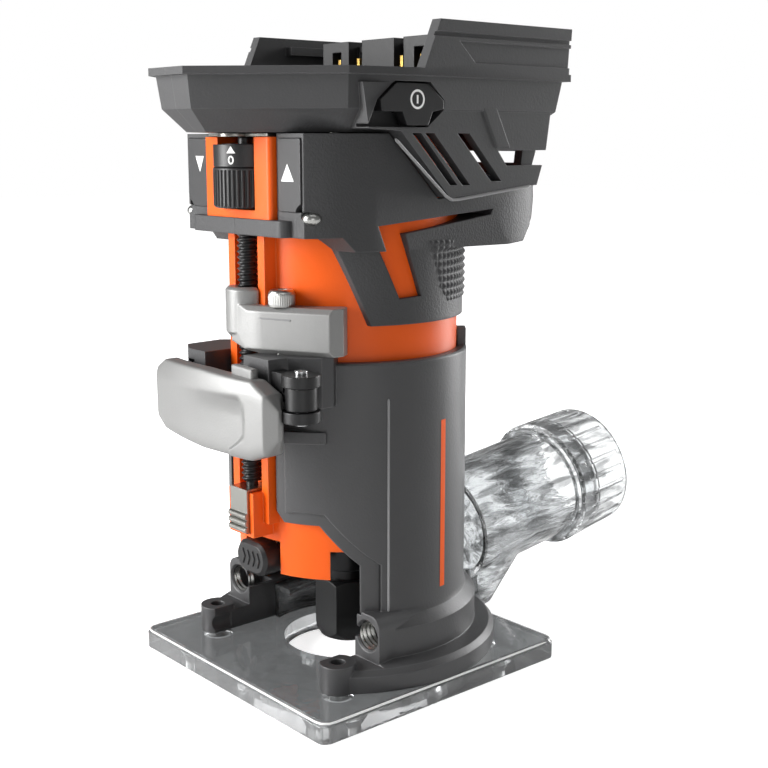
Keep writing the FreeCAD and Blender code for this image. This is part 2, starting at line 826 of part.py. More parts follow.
def clamp_lever():
    height = d.paddle_top - d.paddle_bottom
    centre = (0, d.paddle_sweep, d.paddle_bottom)
    outer = rod("paddle_outer", d.paddle_inner_radius + d.paddle_thickness, height, centre)
    inner = rod("paddle_inner", d.paddle_inner_radius, height + 2,
                (0, d.paddle_sweep, d.paddle_bottom - 1))
    wide = d.paddle_half_width
    low, top, corner = d.paddle_bottom, d.paddle_top, d.paddle_corner
    face = slab("paddle_face", [
        (-wide, top - corner), (-(wide - corner / 3), top - 3), (-(wide - corner), top - 0.4),
        (0, top), (wide - corner, top - 0.8), (wide - corner / 3, top - 4), (wide, top - corner),
        (wide, low + corner * 0.8), (wide - corner / 3, low + 2), (wide - corner, low),
        (0, low), (-(wide - corner), low + 1.6), (-(wide - corner / 3), low + corner / 2),
        (-wide, low + corner),
    ], WHOLE, "XZ")
    plan = slab("paddle_plan", paddle_plan(), WHOLE, "XY")
    paddle = overlap("paddle", cut("paddle_arc", outer, inner), face, plan)
    lug = slab("paddle_lug", [
        (10.3, top - 2), (10.3, top + 2.2), (19.6, top + 1.6), (19.6, top - 2)],
        2.4, "XZ", (0, -(d.paddle_inner_radius - d.paddle_sweep - 0.6), 0))
    eye_room = rod("paddle_eye_room", d.hub_radius, WHOLE, (d.pivot_x, -d.bolt_y, 0))
    keep("clamp_lever", cut("lever", join("lever_blank", paddle, lug), eye_room))


def clamp_hinge():
    """Two black round ends, let into the lever's back, that turn on the pivot pin."""
    x, y = d.pivot_x, -d.bolt_y
    hole = rod("hinge_hole", d.pin_radius, WHOLE, (x, y, 0))
    upper = rod("hinge_end_upper", d.hub_radius, d.hub_lug,
                (x, y, d.bolt_z + d.eye_height / 2 + d.slide_clearance))
    lower = rod("hinge_end_lower", d.hub_radius, d.hub_lug,
                (x, y, d.bolt_z - d.eye_height / 2 - d.slide_clearance - d.hub_lug))
    keep("clamp_hinge", group("hinge_ends", cut("hinge_upper", upper, hole),
                              cut("hinge_lower", lower, hole)))


def clamp_pivot_pin():
    low = d.bolt_z - d.eye_height / 2 - d.slide_clearance - d.hub_lug - 1
    length = d.eye_height + 2 * (d.slide_clearance + d.hub_lug + 1)
    keep("clamp_pivot_pin", rod("pivot_pin", d.pin_radius, length, (d.pivot_x, -d.bolt_y, low)))


# ------------------------------------------------------------ dust extraction

def port_turn():
    """The port's axis: +Y, tipped up."""
    return Rotation(Vector(1, 0, 0), -90 + d.port_tilt.value)


def along_port(distance):
    """A point on the port's axis, measured from the elbow's centre."""
    tilt = math.radians(d.port_tilt.value)
    return (0, d.elbow_y + distance * math.cos(tilt), d.elbow_z + distance * math.sin(tilt))


def funnel(name, grow):
    """Leaning cone that rises from the duct's round end into the neck."""
    lean = math.radians(d.funnel_lean.value)
    below = 6
    slope = (d.funnel_top_radius - d.stem_radius) / d.funnel_length
    foot = (0, d.stem_y - below * math.sin(lean),
            d.plate_thickness - below * math.cos(lean))
    body = cone(name + "_cone", d.stem_radius - slope * below + grow, d.funnel_top_radius + grow,
                d.funnel_length + below, foot,
                turn=Rotation(Vector(1, 0, 0), -d.funnel_lean.value))
    return cut(name, body, box(name + "_below", (-WHOLE, -WHOLE, -WHOLE),
                               (WHOLE, WHOLE, d.plate_thickness)))


def dust_chute():
    seat = d.plate_thickness
    wall = d.chute_wall
    outer = rod("chute_outer", d.chute_radius, d.chute_top - seat, (0, 0, seat))
    inner = rod("chute_inner", d.chute_radius - wall, WHOLE, (0, 0, 0))
    lid = rod("chute_lid", d.chute_radius, wall, (0, 0, d.chute_top - wall))
    lid_hole = rod("chute_lid_hole", d.chute_radius - wall * 4, WHOLE, (0, 0, 0))
    arc = join("chute_arc", cut("chute_ring", outer, inner), cut("chute_lid_ring", lid, lid_hole))
    front = box("chute_front", (-WHOLE, -WHOLE, 0), (WHOLE, -d.chute_radius / 3, WHOLE))
    arc = cut("chute_open_arc", arc, front)
    half = d.duct_half_width
    duct = box("duct_outer", (-half, d.chute_radius / 2, seat), (half, d.stem_y, d.duct_top))
    inside = box("duct_inner", (-(half - wall), 0, seat + wall),
                 (half - wall, WHOLE, d.duct_top - wall))
    hollow = rod("chute_hollow", d.chute_radius - wall, WHOLE, (0, 0, 0))
    neck_room = rod("duct_neck_room", d.neck_radius + d.slide_clearance, WHOLE,
                    along_port(-d.neck_start - 2), turn=port_turn())
    duct = cut("duct", duct, inside, hollow, neck_room,
               funnel("duct_funnel_room", d.slide_clearance))
    way = box("duct_way", (-(half - wall), 0, seat + wall), (half - wall, WHOLE, d.chute_top - wall))
    keep("dust_chute", join("chute", cut("chute_arc_opened", arc, way), duct))


def dust_elbow():
    """A leaning funnel that opens into a straight neck tipped up towards the hose."""
    wall = d.elbow_wall
    start = -d.neck_start
    neck = rod("elbow_neck", d.neck_radius, d.neck_length + d.neck_start, along_port(start),
               turn=port_turn())
    stop = rod("elbow_stop_ring", d.stop_ring_radius, 2.2, along_port(d.collar_start - 2.6),
               turn=port_turn())
    inner_neck = rod("elbow_inner_neck", d.neck_radius - wall, WHOLE, along_port(start + wall),
                     turn=port_turn())
    inner_funnel = overlap("elbow_inner_funnel", funnel("elbow_inner_cone", -wall),
                           box("elbow_inner_height", (-WHOLE, -WHOLE, d.plate_thickness + wall),
                               (WHOLE, WHOLE, WHOLE)))
    half = d.duct_half_width - wall * 1.6
    inlet = box("elbow_inlet", (-half, d.stem_y - d.stem_radius - 5, d.plate_thickness + wall),
                (half, d.stem_y, d.duct_top - d.chute_wall))
    blank = join("elbow_blank", funnel("elbow_funnel", 0), neck, stop)
    keep("dust_elbow", cut("elbow", blank, inner_neck, inner_funnel, inlet))


def dust_collar():
    """A fluted locking collar that takes the hose."""
    start = d.collar_start
    turn = port_turn()
    sleeve = cone("collar_sleeve", d.collar_radius, d.collar_radius - 0.6, d.collar_length,
                  along_port(start), turn=turn)
    inner_bore = rod("collar_bore", d.hose_radius - 1.6, WHOLE, along_port(start - 1), turn=turn)
    neck_room = rod("collar_neck_room", d.neck_radius + d.shaft_clearance * 1.5,
                    d.neck_length + d.loose_clearance, along_port(0), turn=turn)
    hose_room = rod("collar_hose_room", d.hose_radius, d.hose_depth,
                    along_port(start + d.collar_length - d.hose_depth), turn=turn)
    flutes = []
    count = int(d.flute_count.value)
    band = 3.4
    base = along_port(start + band)
    length = d.collar_length - band - 2.2
    tilt = math.radians(d.port_tilt.value)
    for i in range(count):
        angle = 2 * math.pi * i / count
        side = d.collar_radius * math.cos(angle)
        rise = d.collar_radius * math.sin(angle)
        at = (side, base[1] - rise * math.sin(tilt), base[2] + rise * math.cos(tilt))
        flutes.append(rod(f"flute_{i}", d.flute_radius, length, at, turn=turn))
    keep("dust_collar", cut("collar", sleeve, inner_bore, neck_room, hose_room,
                            join("collar_flutes", *flutes, refine=False)))


# ----------------------------------------------------------------- motor unit

def motor_case():
    """Orange motor housing with the lead screw's channel down its front."""
    radius, wall = d.case_radius, d.case_wall
    height = d.case_top - d.case_bottom
    tube = rod("case_tube", radius, height, (0, 0, d.case_bottom))
    rib = box("case_rib", (-d.rib_half_width, -d.rib_front, d.window_top - 1),
              (d.rib_half_width, -(radius - wall), d.panel_bottom - 3))
    foot = box("foot_block", (-d.foot_block_half_width, -d.foot_block_front, d.foot_clip_bottom - 1),
               (d.foot_block_half_width, -(radius - wall), d.foot_clip_top - d.clip_thickness))
    pocket_wall = rod("dial_pocket_wall", d.dial_radius + 2.4, d.case_top - d.dial_bottom + 3,
                      (0, -d.screw_y, d.dial_bottom - 3))
    pocket_wall = overlap("dial_pocket_back", pocket_wall,
                          rod("case_inside", radius, height, (0, 0, d.case_bottom)))
    hollow = rod("case_hollow", radius - wall, height, (0, 0, d.case_bottom - wall))
    web_low = d.upper_bearing_bottom + d.upper_bearing_width
    web = rod("case_web", radius - wall + 1, 4.5, (0, 0, web_low - 1.5))
    cup = rod("bearing_cup", d.upper_bearing_radius + 2.5, d.upper_bearing_width,
              (0, 0, d.upper_bearing_bottom))
    ribs = []
    for i in range(6):
        lug = box(f"stator_rib_{i}", (-1.5, d.stator_radius, d.stack_bottom),
                  (1.5, radius - wall + 0.5, d.stack_bottom + d.stack_height))
        ribs.append(spun(f"stator_rib_turned_{i}", lug, 30 + 60 * i))
    for i, (x, y) in enumerate(board_screw_places()):
        ribs.append(rod(f"board_boss_{i}", 2.4, d.board_z - web_low - 1, (x, y, web_low + 1)))
    for i, (x, y) in enumerate(head_screw_places()):
        boss = rod(f"head_boss_{i}", 3.4, d.head_screw_length - 2,
                   (x, y, d.case_top - d.head_screw_length + 2))
        ribs.append(boss)
    legs = overlap("lock_legs",
                   box("leg_block", (-d.leg_outer_x, -WHOLE, d.case_bottom),
                       (d.leg_outer_x, -d.leg_rear, d.port_top + 2)),
                   rod("leg_round", radius, height, (0, 0, d.case_bottom)))
    shell = cut("case_shell", tube, hollow)
    solid = join("case_solid", shell, legs, rib, foot, pocket_wall, web, cup, *ribs)

    channel = d.channel_half_width
    tools = [
        box("screw_channel", (-channel, -WHOLE, d.foot_clip_top - d.clip_thickness),
            (channel, -d.channel_floor, d.case_top + 1)),
        rod("dial_pocket", d.dial_radius + d.slide_clearance, WHOLE,
            (0, -d.screw_y, d.dial_bottom - d.slide_clearance)),
        rod("bearing_seat", d.upper_bearing_radius, d.upper_bearing_width,
            (0, 0, d.upper_bearing_bottom)),
        rod("web_hole", d.upper_journal_radius + 1, WHOLE, (0, 0, d.upper_bearing_bottom)),
        rod("journal_hole", d.lower_journal_radius + d.shaft_clearance,
            d.lower_journal_length + 1,
            (0, -d.screw_y, d.foot_clip_top - d.lower_journal_length - 1)),
        box("lock_arch", (-(d.lock_cap_half_width + 1.2), -WHOLE, 0),
            (d.lock_cap_half_width + 1.2, 0, d.lock_cap_z + d.lock_cap_half_height + 1)),
    ]
    for i, (x, y) in enumerate(head_screw_places()):
        tools.append(rod(f"case_screw_hole_{i}", d.head_screw_radius, WHOLE,
                         (x, y, d.case_top - d.head_screw_length + 4)))
    for i, x in enumerate(lead_places()):
        tools.append(rod(f"lead_hole_{i}", d.lead_radius + d.loose_clearance, 12,
                         (x, d.lead_y, web_low - 4)))
    for i, angle in enumerate((59, 112, 248, 301)):
        port = box(f"air_port_{i}", (-9.5, -WHOLE, d.case_bottom - 1), (9.5, -10, d.port_top))
        tools.append(spun(f"air_port_turned_{i}", port, angle))
    for i, angle in enumerate(range(150, 211, 15)):
        slot = box(f"inlet_slot_{i}", (-2, -WHOLE, d.collar_bottom + 9),
                   (2, -10, d.collar_bottom + 22))
        tools.append(spun(f"inlet_slot_turned_{i}", slot, angle))
    halves("motor_case", cut("case", solid, *tools))


def board_screw_places():
    x = d.board_half_width - 4
    return [(x, -(d.board_front - 4)), (-x, -(d.board_front - 4)),
            (x, d.board_rear - 4), (-x, d.board_rear - 4)]


def head_screw_places():
    return [(sx * d.head_screw_spread, sy * d.head_screw_spread)
            for sx in (1, -1) for sy in (1, -1)]


def lead_places():
    return [-5, 0, 5]


# ----------------------------------------------------------------------- head

def tray_outline(inset):
    """Battery tray seen from above: a narrow nose, two long bows and straight sides."""
    return both_sides([
        (d.tray_nose_half_width - inset * 0.4, -(d.tray_nose - inset)),
        (d.tray_bow_x - inset * 0.85, -(d.tray_bow_y - inset * 0.55)),
        (d.tray_half_width - inset, -d.tray_shoulder_y),
        (d.tray_half_width - inset, d.tray_rear - inset),
    ])


def lofted(name, levels):
    """A ruled skin through the tray outline at several heights."""
    sections = [outline(f"{name}_level_{i}", tray_outline(inset), "XY", (0, 0, z))
                for i, (z, inset) in enumerate(levels)]
    thing = doc.addObject("Part::Loft", name)
    thing.Sections = sections
    thing.Solid = True
    thing.Ruled = True
    return thing


def button_outline(gap):
    """The power button's face: a long hexagon with a tab below."""
    top, low, mid = d.tray_rim - 3.4 - gap, d.tray_bottom + 1.3 + gap, d.tray_rim - 8.2
    if gap == 0:
        return [(-15.3, top), (-3.7, top), (2.2, mid), (2.2, mid - 2.6), (-3.5, low),
                (-24.6, low), (-21.1, mid)]
    return [(-15.1, top), (-4.0, top), (1.7, mid), (1.6, mid - 2.2), (-2.4, mid - 3),
            (-4.0, low), (-11.4, low), (-13.2, mid - 3), (-20.2, mid - 3), (-20.6, mid)]


def pod_outline():
    """Side view of the head's rear housing, whose lower front edge is the grip's seam."""
    return [
        (-(d.tray_shoulder_y * 2 + 6), d.tray_rim - 4),
        (-(d.tray_shoulder_y * 2 + 4), d.tray_bottom + 1),
        (-d.seam_front_y, d.tray_bottom + 0.4),
        (d.seam_corner_y, d.seam_corner_z),
        (d.tray_rear - 10, d.seam_corner_z + 2.7),
        (d.tray_rear - 6.5, d.seam_corner_z + 12),
        (d.tray_rear - 3.5, d.tray_rim - 3),
    ]


def rail_outline():
    return [
        (-d.rail_front, d.tray_rim - 1),
        (-(d.rail_front - d.rail_slope), d.rail_top),
        (d.tray_rear, d.rail_top),
        (d.tray_rear - 1, d.tray_rim - 1),
    ]


def vent_outlines():
    """Three leaning slots and the low notch at the back, seen from the side as (y, z)."""
    top, lean = d.vent_top, d.vent_lean
    slots = []
    for y, width, rise in ((-9, 3.2, 14), (-4.4, 3.4, 14.1), (7.6, 4.6, 13.2)):
        slots.append([(y, top), (y + width, top), (y + width + lean * rise, top - rise),
                      (y + 0.4 + lean * rise, top - rise)])
    rear = d.tray_rear
    slots.append([(rear - 26.4, d.tray_bottom - 4.9), (rear - 22.8, d.tray_bottom - 9.2),
                  (WHOLE, d.tray_bottom - 8.6), (WHOLE, d.tray_bottom - 5.2)])
    return slots


def head_shell():
    half = d.tray_half_width
    tray = lofted("tray_skin", [(d.tray_bottom, 9), (d.tray_bottom + 6, 3),
                                (d.tray_rim - 5, 2.2), (d.tray_rim - 2, 1.8)])
    lip = slab("tray_lip", tray_outline(0), 2, "XY", (0, 0, d.tray_rim - 2))
    pod = slab("pod", pod_outline(), 2 * d.pod_half_width, "YZ", (-d.pod_half_width, 0, 0))
    rails = slab("rails", rail_outline(), 2 * half, "YZ", (-half, 0, 0))
    blank = join("head_blank", tray, lip, pod, rails)

    back_wall = d.tray_rear - d.rail_thickness
    inner = d.pod_half_width - d.pod_wall
    bay = overlap("bay",
                  slab("nose_bay", tray_outline(d.tray_wall + 2), WHOLE, "XY",
                       (0, 0, d.tray_floor)),
                  box("bay_width", (-d.bay_half_width, -WHOLE, 0),
                      (d.bay_half_width, back_wall, WHOLE)))
    upper = cut("upper_bay",
                box("upper_bay_width", (-d.rail_inner_x, -d.rail_front - 1, d.tray_rim),
                    (d.rail_inner_x, back_wall, WHOLE)),
                *[box(f"rail_lip_{name}", low, high) for name, low, high in (
                    ("right", (d.rail_lip_x, d.rail_front, d.rail_top - 2 * d.rail_lip_height),
                     (half, WHOLE, d.rail_top - d.rail_lip_height)),
                    ("left", (-half, d.rail_front, d.rail_top - 2 * d.rail_lip_height),
                     (-d.rail_lip_x, WHOLE, d.rail_top - d.rail_lip_height)))])
    tools = [bay, upper]
    tools.append(rod("head_case_room", d.case_radius + d.shaft_clearance, WHOLE,
                     (0, 0, d.case_top - WHOLE)))
    tools.append(slab("head_hollow", [
        (-8, d.seam_corner_z + 16), (d.seam_corner_y + 3, d.seam_corner_z + 5),
        (d.tray_rear - 13, d.seam_corner_z + 6), (d.tray_rear - 11, d.tray_floor - 3.5),
        (-8, d.tray_floor - 3.5)], 2 * inner, "YZ", (-inner, 0, 0)))
    tools.append(slab("button_recess", button_outline(0), WHOLE, "YZ", (d.button_floor, 0, 0)))
    tools.append(box("rear_mouth", (-inner + 4, d.tray_rear - 14, d.tray_bottom - 8.6),
                     (inner - 4, WHOLE, d.tray_bottom - 5.2)))
    outer = [
        box("rail_line", (half - 0.7, -WHOLE, d.rail_top - 4.4),
            (WHOLE, WHOLE, d.rail_top - 3.2)),
        slab("badge_panel", [
            (d.rail_slope - 1, d.rail_top - 5.4), (d.rail_slope + 5, d.tray_rim + 1.8),
            (WHOLE, d.tray_rim + 1.8), (WHOLE, d.rail_top - 5.4)], WHOLE, "YZ",
            (half - 0.6, 0, 0)),
    ]
    for i, corners in enumerate(vent_outlines()):
        outer.append(slab(f"vent_{i}", corners, WHOLE, "YZ", (inner - 1, 0, 0)))
    for tool in outer:
        tools += [tool, mirrored(tool.Name + "_mirror", tool)]
    for i, (x, y) in enumerate(head_screw_places()):
        tools.append(rod(f"head_screw_hole_{i}", d.head_screw_radius, WHOLE, (x, y, 0)))
    halves("head_shell", cut("head", blank, *tools))


def head_screws():
    screws = []
    for i, (x, y) in enumerate(head_screw_places()):
        low = d.case_top - d.head_screw_length + 4
        shank = rod(f"head_shank_{i}", d.head_screw_radius, d.tray_floor - low, (x, y, low))
        head = rod(f"head_head_{i}", d.head_screw_radius * 1.9, 1.7, (x, y, d.tray_floor))
        driver = hexagon(f"head_driver_{i}", d.head_screw_radius * 1.6, 1.2,
                         (x, y, d.tray_floor + 0.7))
        screws.append(cut(f"head_screw_{i}", join(f"head_screw_blank_{i}", shank, head), driver))
    keep("head_screws", group("head_screw_set", *screws))


# ----------------------------------------------------------------------- grip

def grip_plan():
    return both_sides([
        (d.chin_half_width, -d.chin_front),
        (d.chin_half_width + 3.5, -(d.chin_front - 6)),
        (d.grip_half_width, -(d.chin_front / 2)),
        (d.grip_half_width, d.grip_rear - 20),
        (d.grip_half_width - 3, d.grip_rear - 8.6),
        (d.tail_half_width, d.grip_rear),
    ])


def grip_side():
    """Side view of the soft grip: chin in front, seam above, tail behind."""
    gap = d.slide_clearance
    return [
        (-WHOLE, d.chin_bottom),
        (-WHOLE, d.tray_bottom - gap),
        (-(d.seam_front_y + gap), d.tray_bottom - gap),
        (d.seam_corner_y - gap, d.seam_corner_z - gap * 1.5),
        (d.tray_rear - 10 - gap, d.seam_corner_z + 2.7 - gap * 1.5),
        (d.grip_rear - 2, d.seam_corner_z + 2.5),
        (d.grip_rear, d.seam_corner_z - 1.5),
        (d.grip_rear - 4, d.seam_corner_z - 7.5),
        (d.grip_rear - 8, d.seam_corner_z - 8.8),
        (d.grip_rear - 12.4, d.seam_corner_z - 14),
        (d.grip_half_width - 2, d.seam_corner_z - 14.4),
    ]


def chevron_outline():
    """The window that lets the orange case show: a boomerang on each flank."""
    return [
        (-17, d.collar_bottom + 4.4), (d.grip_half_width - 8, d.collar_bottom + 7.6),
        (d.grip_half_width - 9, d.collar_bottom + 6), (-7.3, d.collar_bottom + 2),
        (-1.3, d.grip_bottom + 7.6), (-8.5, d.grip_bottom + 7.2),
    ]


def grip():
    upper = overlap("grip_upper",
                    slab("grip_plan", grip_plan(), WHOLE / 2, "XY", (0, 0, d.grip_bottom)),
                    slab("grip_side", grip_side(), 2 * d.grip_half_width + 4, "YZ",
                         (-(d.grip_half_width + 2), 0, 0)))
    neck = rod("grip_neck", d.case_radius + d.grip_thickness,
               d.collar_bottom - d.grip_bottom + 6, (0, 0, d.grip_bottom))
    lip = box("chin_lip", (-d.chin_lip_half_width, -d.chin_lip_front, d.chin_bottom),
              (d.chin_lip_half_width, -(d.chin_front - 8), d.chin_lip_top))
    lip = eased("chin_lip_round", lip, 2.6,
                lambda e: lies_along(e, UP) and e.BoundBox.YMax < -36)
    blank = join("grip_blank", upper, neck, lip)

    side = d.frame_half_width + d.slide_clearance
    rib = d.rib_half_width + d.shaft_clearance
    tools = [
        slab("grip_front_cut", [
            (-WHOLE, d.grip_bottom - 5), (-16.1, d.grip_bottom - 5), (-16.1, d.grip_bottom),
            (-23.7, d.collar_bottom - 2), (-27, d.chin_bottom), (-WHOLE, d.chin_bottom)],
            WHOLE, "YZ", (-WHOLE / 2, 0, 0)),
        box("dial_bay", (-side, -WHOLE, d.chin_lip_top), (side, -15, WHOLE)),
        rod("grip_case_room", d.case_radius + 0.02, WHOLE),
        box("grip_rib_room", (-rib, -(d.rib_front + d.shaft_clearance), 0), (rib, 0, WHOLE)),
        rod("grip_screw_room", d.screw_radius + d.loose_clearance, WHOLE, (0, -d.screw_y, 0)),
    ]
    chevron = slab("chevron", chevron_outline(), WHOLE, "YZ", (0, 0, 0))
    tools += [chevron, mirrored("chevron_mirror", chevron)]
    for name, side in (("right", 1), ("left", -1)):
        low, high = sorted((side * d.panel_inner_x, side * d.panel_outer_x), key=number)
        gap = d.shaft_clearance
        tools.append(box(f"panel_recess_{name}", (low - gap, -WHOLE, d.panel_bottom - gap),
                         (high + gap, -(d.chin_front - d.panel_thickness), d.panel_top + gap)))
        tools.append(rod(f"chin_screw_hole_{name}", d.chin_screw_radius, 6,
                         (side * d.chin_half_width, -d.chin_front, d.chin_screw_z), "+Y"))
    halves("grip_overmold", cut("grip", blank, *tools))


def chin_screws():
    screws = []
    y, z = -d.chin_front, d.chin_screw_z
    for name, side in (("right", 1), ("left", -1)):
        x = side * d.chin_half_width
        dome = overlap(f"chin_dome_{name}",
                       ball(f"chin_ball_{name}", 3.4, (x, y + 1.4, z)),
                       box(f"chin_ahead_{name}", (x - 5, y - 5, z - 5), (x + 5, y, z + 5)))
        shank = rod(f"chin_shank_{name}", d.chin_screw_radius, 5.5, (x, y, z), "+Y")
        screws.append(join(f"chin_screw_{name}", dome, shank))
    keep("chin_screws", group("chin_screw_set", *screws))


def arrow_panels():
    plates = []
    for name, side in (("right", 1), ("left", -1)):
        low, high = sorted((side * d.panel_inner_x, side * d.panel_outer_x), key=number)
        plate = box(f"arrow_plate_{name}", (low, -(d.chin_front + 0.5), d.panel_bottom),
                    (high, -(d.chin_front - d.panel_thickness), d.panel_top))
        rounded = eased(f"arrow_plate_eased_{name}", plate, 0.8,
                        lambda e: lies_along(e, Vector(0, 1, 0)))
        plates.append(cut(f"arrow_plate_cut_{name}", rounded,
                          rod(f"arrow_screw_room_{name}", d.chin_head_radius, WHOLE,
                              (side * d.chin_half_width, -WHOLE, d.chin_screw_z), "+Y")))
    keep("arrow_panels", group("arrow_panel_set", *plates))


# -------------------------------------------------------- depth dial and screw

def dial_frame():
    low, high = d.chin_lip_top, d.tray_bottom - 1.2
    half, window = d.frame_half_width, d.frame_window_half_width
    block = box("frame_block", (-half, -d.frame_front, low), (half, -(d.case_radius - 3), high))
    block = eased("frame_round", block, 1.4,
                  lambda e: lies_along(e, UP) and e.BoundBox.YMax < -number(d.case_radius))
    floor = d.dial_bottom - d.loose_clearance
    keep("dial_frame", cut(
        "frame", block,
        box("frame_window", (-window, -WHOLE, floor), (window, 0, WHOLE)),
        rod("frame_dial_room", d.dial_radius + d.slide_clearance, WHOLE,
            (0, -d.screw_y, floor)),
        rod("frame_case_room", d.case_radius + 0.05, WHOLE),
        rod("frame_hole", d.screw_radius + d.shaft_clearance, WHOLE, (0, -d.screw_y, 0))))


def dial_clip():
    """Steel plate over the dial that carries the screw's top journal."""
    top = d.tray_bottom - 0.2
    low = top - d.clip_thickness
    plate = box("clip_plate", (-(d.frame_half_width - 1.5), -(d.frame_front - 0.6), low),
                (d.frame_half_width - 1.5, -(d.screw_y - 4), top))
    tongue = rod("clip_tongue", 4.4, d.clip_thickness, (0, -(d.frame_front + 0.4), low))
    hole = rod("clip_hole", d.top_journal_radius + d.shaft_clearance, WHOLE,
               (0, -d.screw_y, 0))
    case_room = rod("clip_case_room", d.case_radius + 0.05, WHOLE, (0, 0, 0))
    keep("dial_clip", cut("clip", join("clip_blank", plate, tongue), hole, case_room))


def lead_screw():
    dial_top = d.dial_bottom + d.dial_height + d.zero_ring_height
    foot, tip = d.foot_clip_top - d.lower_journal_length, d.tray_bottom - 0.4
    profile = [
        (0, foot), (d.lower_journal_radius, foot), (d.lower_journal_radius, d.screw_bottom),
        (d.screw_radius - 0.5, d.screw_bottom), (d.screw_radius, d.screw_bottom + 0.8),
        (d.screw_radius, d.dial_bottom), (d.hub_bore_radius, d.dial_bottom),
        (d.hub_bore_radius, dial_top), (d.top_journal_radius, dial_top),
        (d.top_journal_radius, tip), (0, tip),
    ]
    keep("lead_screw", turned("screw", profile, (0, -d.screw_y, 0)))


def foot_clip():
    """Steel plate that carries the screw's lower journal on the case's foot block."""
    half = d.foot_block_half_width - 1.9
    face = box("foot_plate", (-half, -(d.foot_block_front + d.clip_thickness), d.foot_clip_bottom),
               (half, -d.foot_block_front, d.foot_clip_top))
    tab = box("foot_tab", (-half, -(d.foot_block_front + d.clip_thickness),
                           d.foot_clip_top - d.clip_thickness),
              (half, -(d.channel_floor + 0.3), d.foot_clip_top))
    hole = rod("foot_hole", d.lower_journal_radius + d.shaft_clearance, WHOLE,
               (0, -d.screw_y, 0))
    waves = []
    for i in range(3):
        waves.append(rod(f"foot_wave_{i}", 0.9, 2 * half,
                         (-half, -(d.foot_block_front + d.clip_thickness),
                          d.foot_clip_bottom + 1 + 2 * i), "+X"))
    blank = join("foot_blank", face, tab, *waves)
    behind = box("foot_behind", (-WHOLE, -d.foot_block_front, 0),
                 (WHOLE, WHOLE, d.foot_clip_top - d.clip_thickness))
    keep("foot_clip", cut("foot", blank, behind, hole))


def depth_dial():
    top = d.dial_bottom + d.dial_height
    hub_top = top + d.zero_ring_height
    blank = turned("dial_blank", [
        (d.hub_bore_radius, d.dial_bottom), (d.dial_radius - 0.6, d.dial_bottom),
        (d.dial_radius, d.dial_bottom + 0.6), (d.dial_radius, top - 0.4),
        (d.dial_radius - 0.4, top), (d.dial_hub_radius, top), (d.dial_hub_radius, hub_top),
        (d.hub_bore_radius, hub_top),
    ], (0, -d.screw_y, 0))
    grooves = []
    count = int(d.dial_rib_count.value)
    for i in range(count):
        angle = 2 * math.pi * i / count
        at = (d.dial_radius * math.cos(angle), d.dial_radius * math.sin(angle) - d.screw_y,
              d.dial_bottom - 1)
        grooves.append(rod(f"dial_groove_{i}", d.dial_rib_radius, d.dial_height + 0.2, at))
    keep("depth_dial", cut("dial", blank, join("dial_grooves", *grooves, refine=False)))


def zero_ring():
    low = d.dial_bottom + d.dial_height + 0.1
    ring_blank = rod("zero_blank", d.zero_ring_radius, d.zero_ring_height - 0.3,
                     (0, -d.screw_y, low))
    bore = rod("zero_bore", d.dial_hub_radius + d.shaft_clearance, WHOLE, (0, -d.screw_y, 0))
    keep("zero_ring", cut("zero", ring_blank, bore))


# -------------------------------------------------------------------- spindle

def spindle():
    """Motor shaft with the flange and nose that hold the collet."""
    nose_low = d.nut_bottom + d.collet_nut_height / 2 + 2
    journal = d.lower_bearing_bottom + d.lower_bearing_width
    profile = [
        (0, nose_low), (d.nose_radius, nose_low), (d.nose_radius, d.nut_bottom + 22.5),
        (d.flange_spindle_radius, d.nut_bottom + 23), (d.flange_spindle_radius, d.flange_spindle_top),
        (d.spindle_radius, d.flange_spindle_top), (d.spindle_radius, journal),
        (d.spindle_radius - 0.5, journal), (d.spindle_radius - 0.5, d.upper_bearing_bottom),
        (d.upper_journal_radius, d.upper_bearing_bottom), (d.upper_journal_radius, d.spindle_top),
        (0, d.spindle_top),
    ]
    shaft = turned("shaft", profile)
    bore = rod("collet_seat", d.collet_radius, d.collet_nut_height - 2, (0, 0, nose_low - 1))
    lock_hole = rod("lock_hole", d.lock_pin_radius + 0.4, 30, (0, -15, d.lock_z), "+Y")
    keep("spindle", cut("spindle_shaft", shaft, bore, lock_hole))


def collet():
    low = d.nut_bottom + 1.5
    body = rod("collet_body", d.collet_radius, 19, (0, 0, low))
    hole = rod("collet_hole", d.collet_bore_radius, WHOLE, (0, 0, 0))
    slits = [spun(f"collet_slit_turned_{i}",
                  box(f"collet_slit_{i}", (0, -0.4, low - 1), (10, 0.4, low + 15)), 45 + 90 * i)
             for i in range(4)]
    keep("collet", cut("collet_split", body, hole, *slits))


def collet_nut():
    low, height = d.nut_bottom, d.collet_nut_height
    blank = hexagon("nut_hexagon", d.collet_nut_across, height, (0, 0, low))
    corner = d.collet_nut_across.value / math.sqrt(3)
    rounded = turned("nut_turned", [
        (0, low), (corner - 3.2, low), (corner - 1.4, low + 0.9), (corner - 0.2, low + 3),
        (corner, low + 5), (corner, low + height - 1.2), (corner - 1.6, low + height),
        (0, low + height)])
    mouth = rod("nut_mouth", d.collet_radius - 0.6, 3, (0, 0, low - 1))
    seat = rod("nut_collet_room", d.collet_radius, 30, (0, 0, low + 1.5))
    thread = rod("nut_thread", d.nose_radius, 30, (0, 0, low + height / 2 + 1))
    keep("collet_nut", cut("collet_nut_solid", overlap("nut_rounded", blank, rounded),
                           mouth, seat, thread))


def rotor():
    blank = rod("rotor_blank", d.rotor_radius, d.stack_height, (0, 0, d.stack_bottom))
    hole = rod("rotor_hole", d.spindle_radius - 0.5, WHOLE, (0, 0, 0))
    keep("rotor", cut("rotor_core", blank, hole))


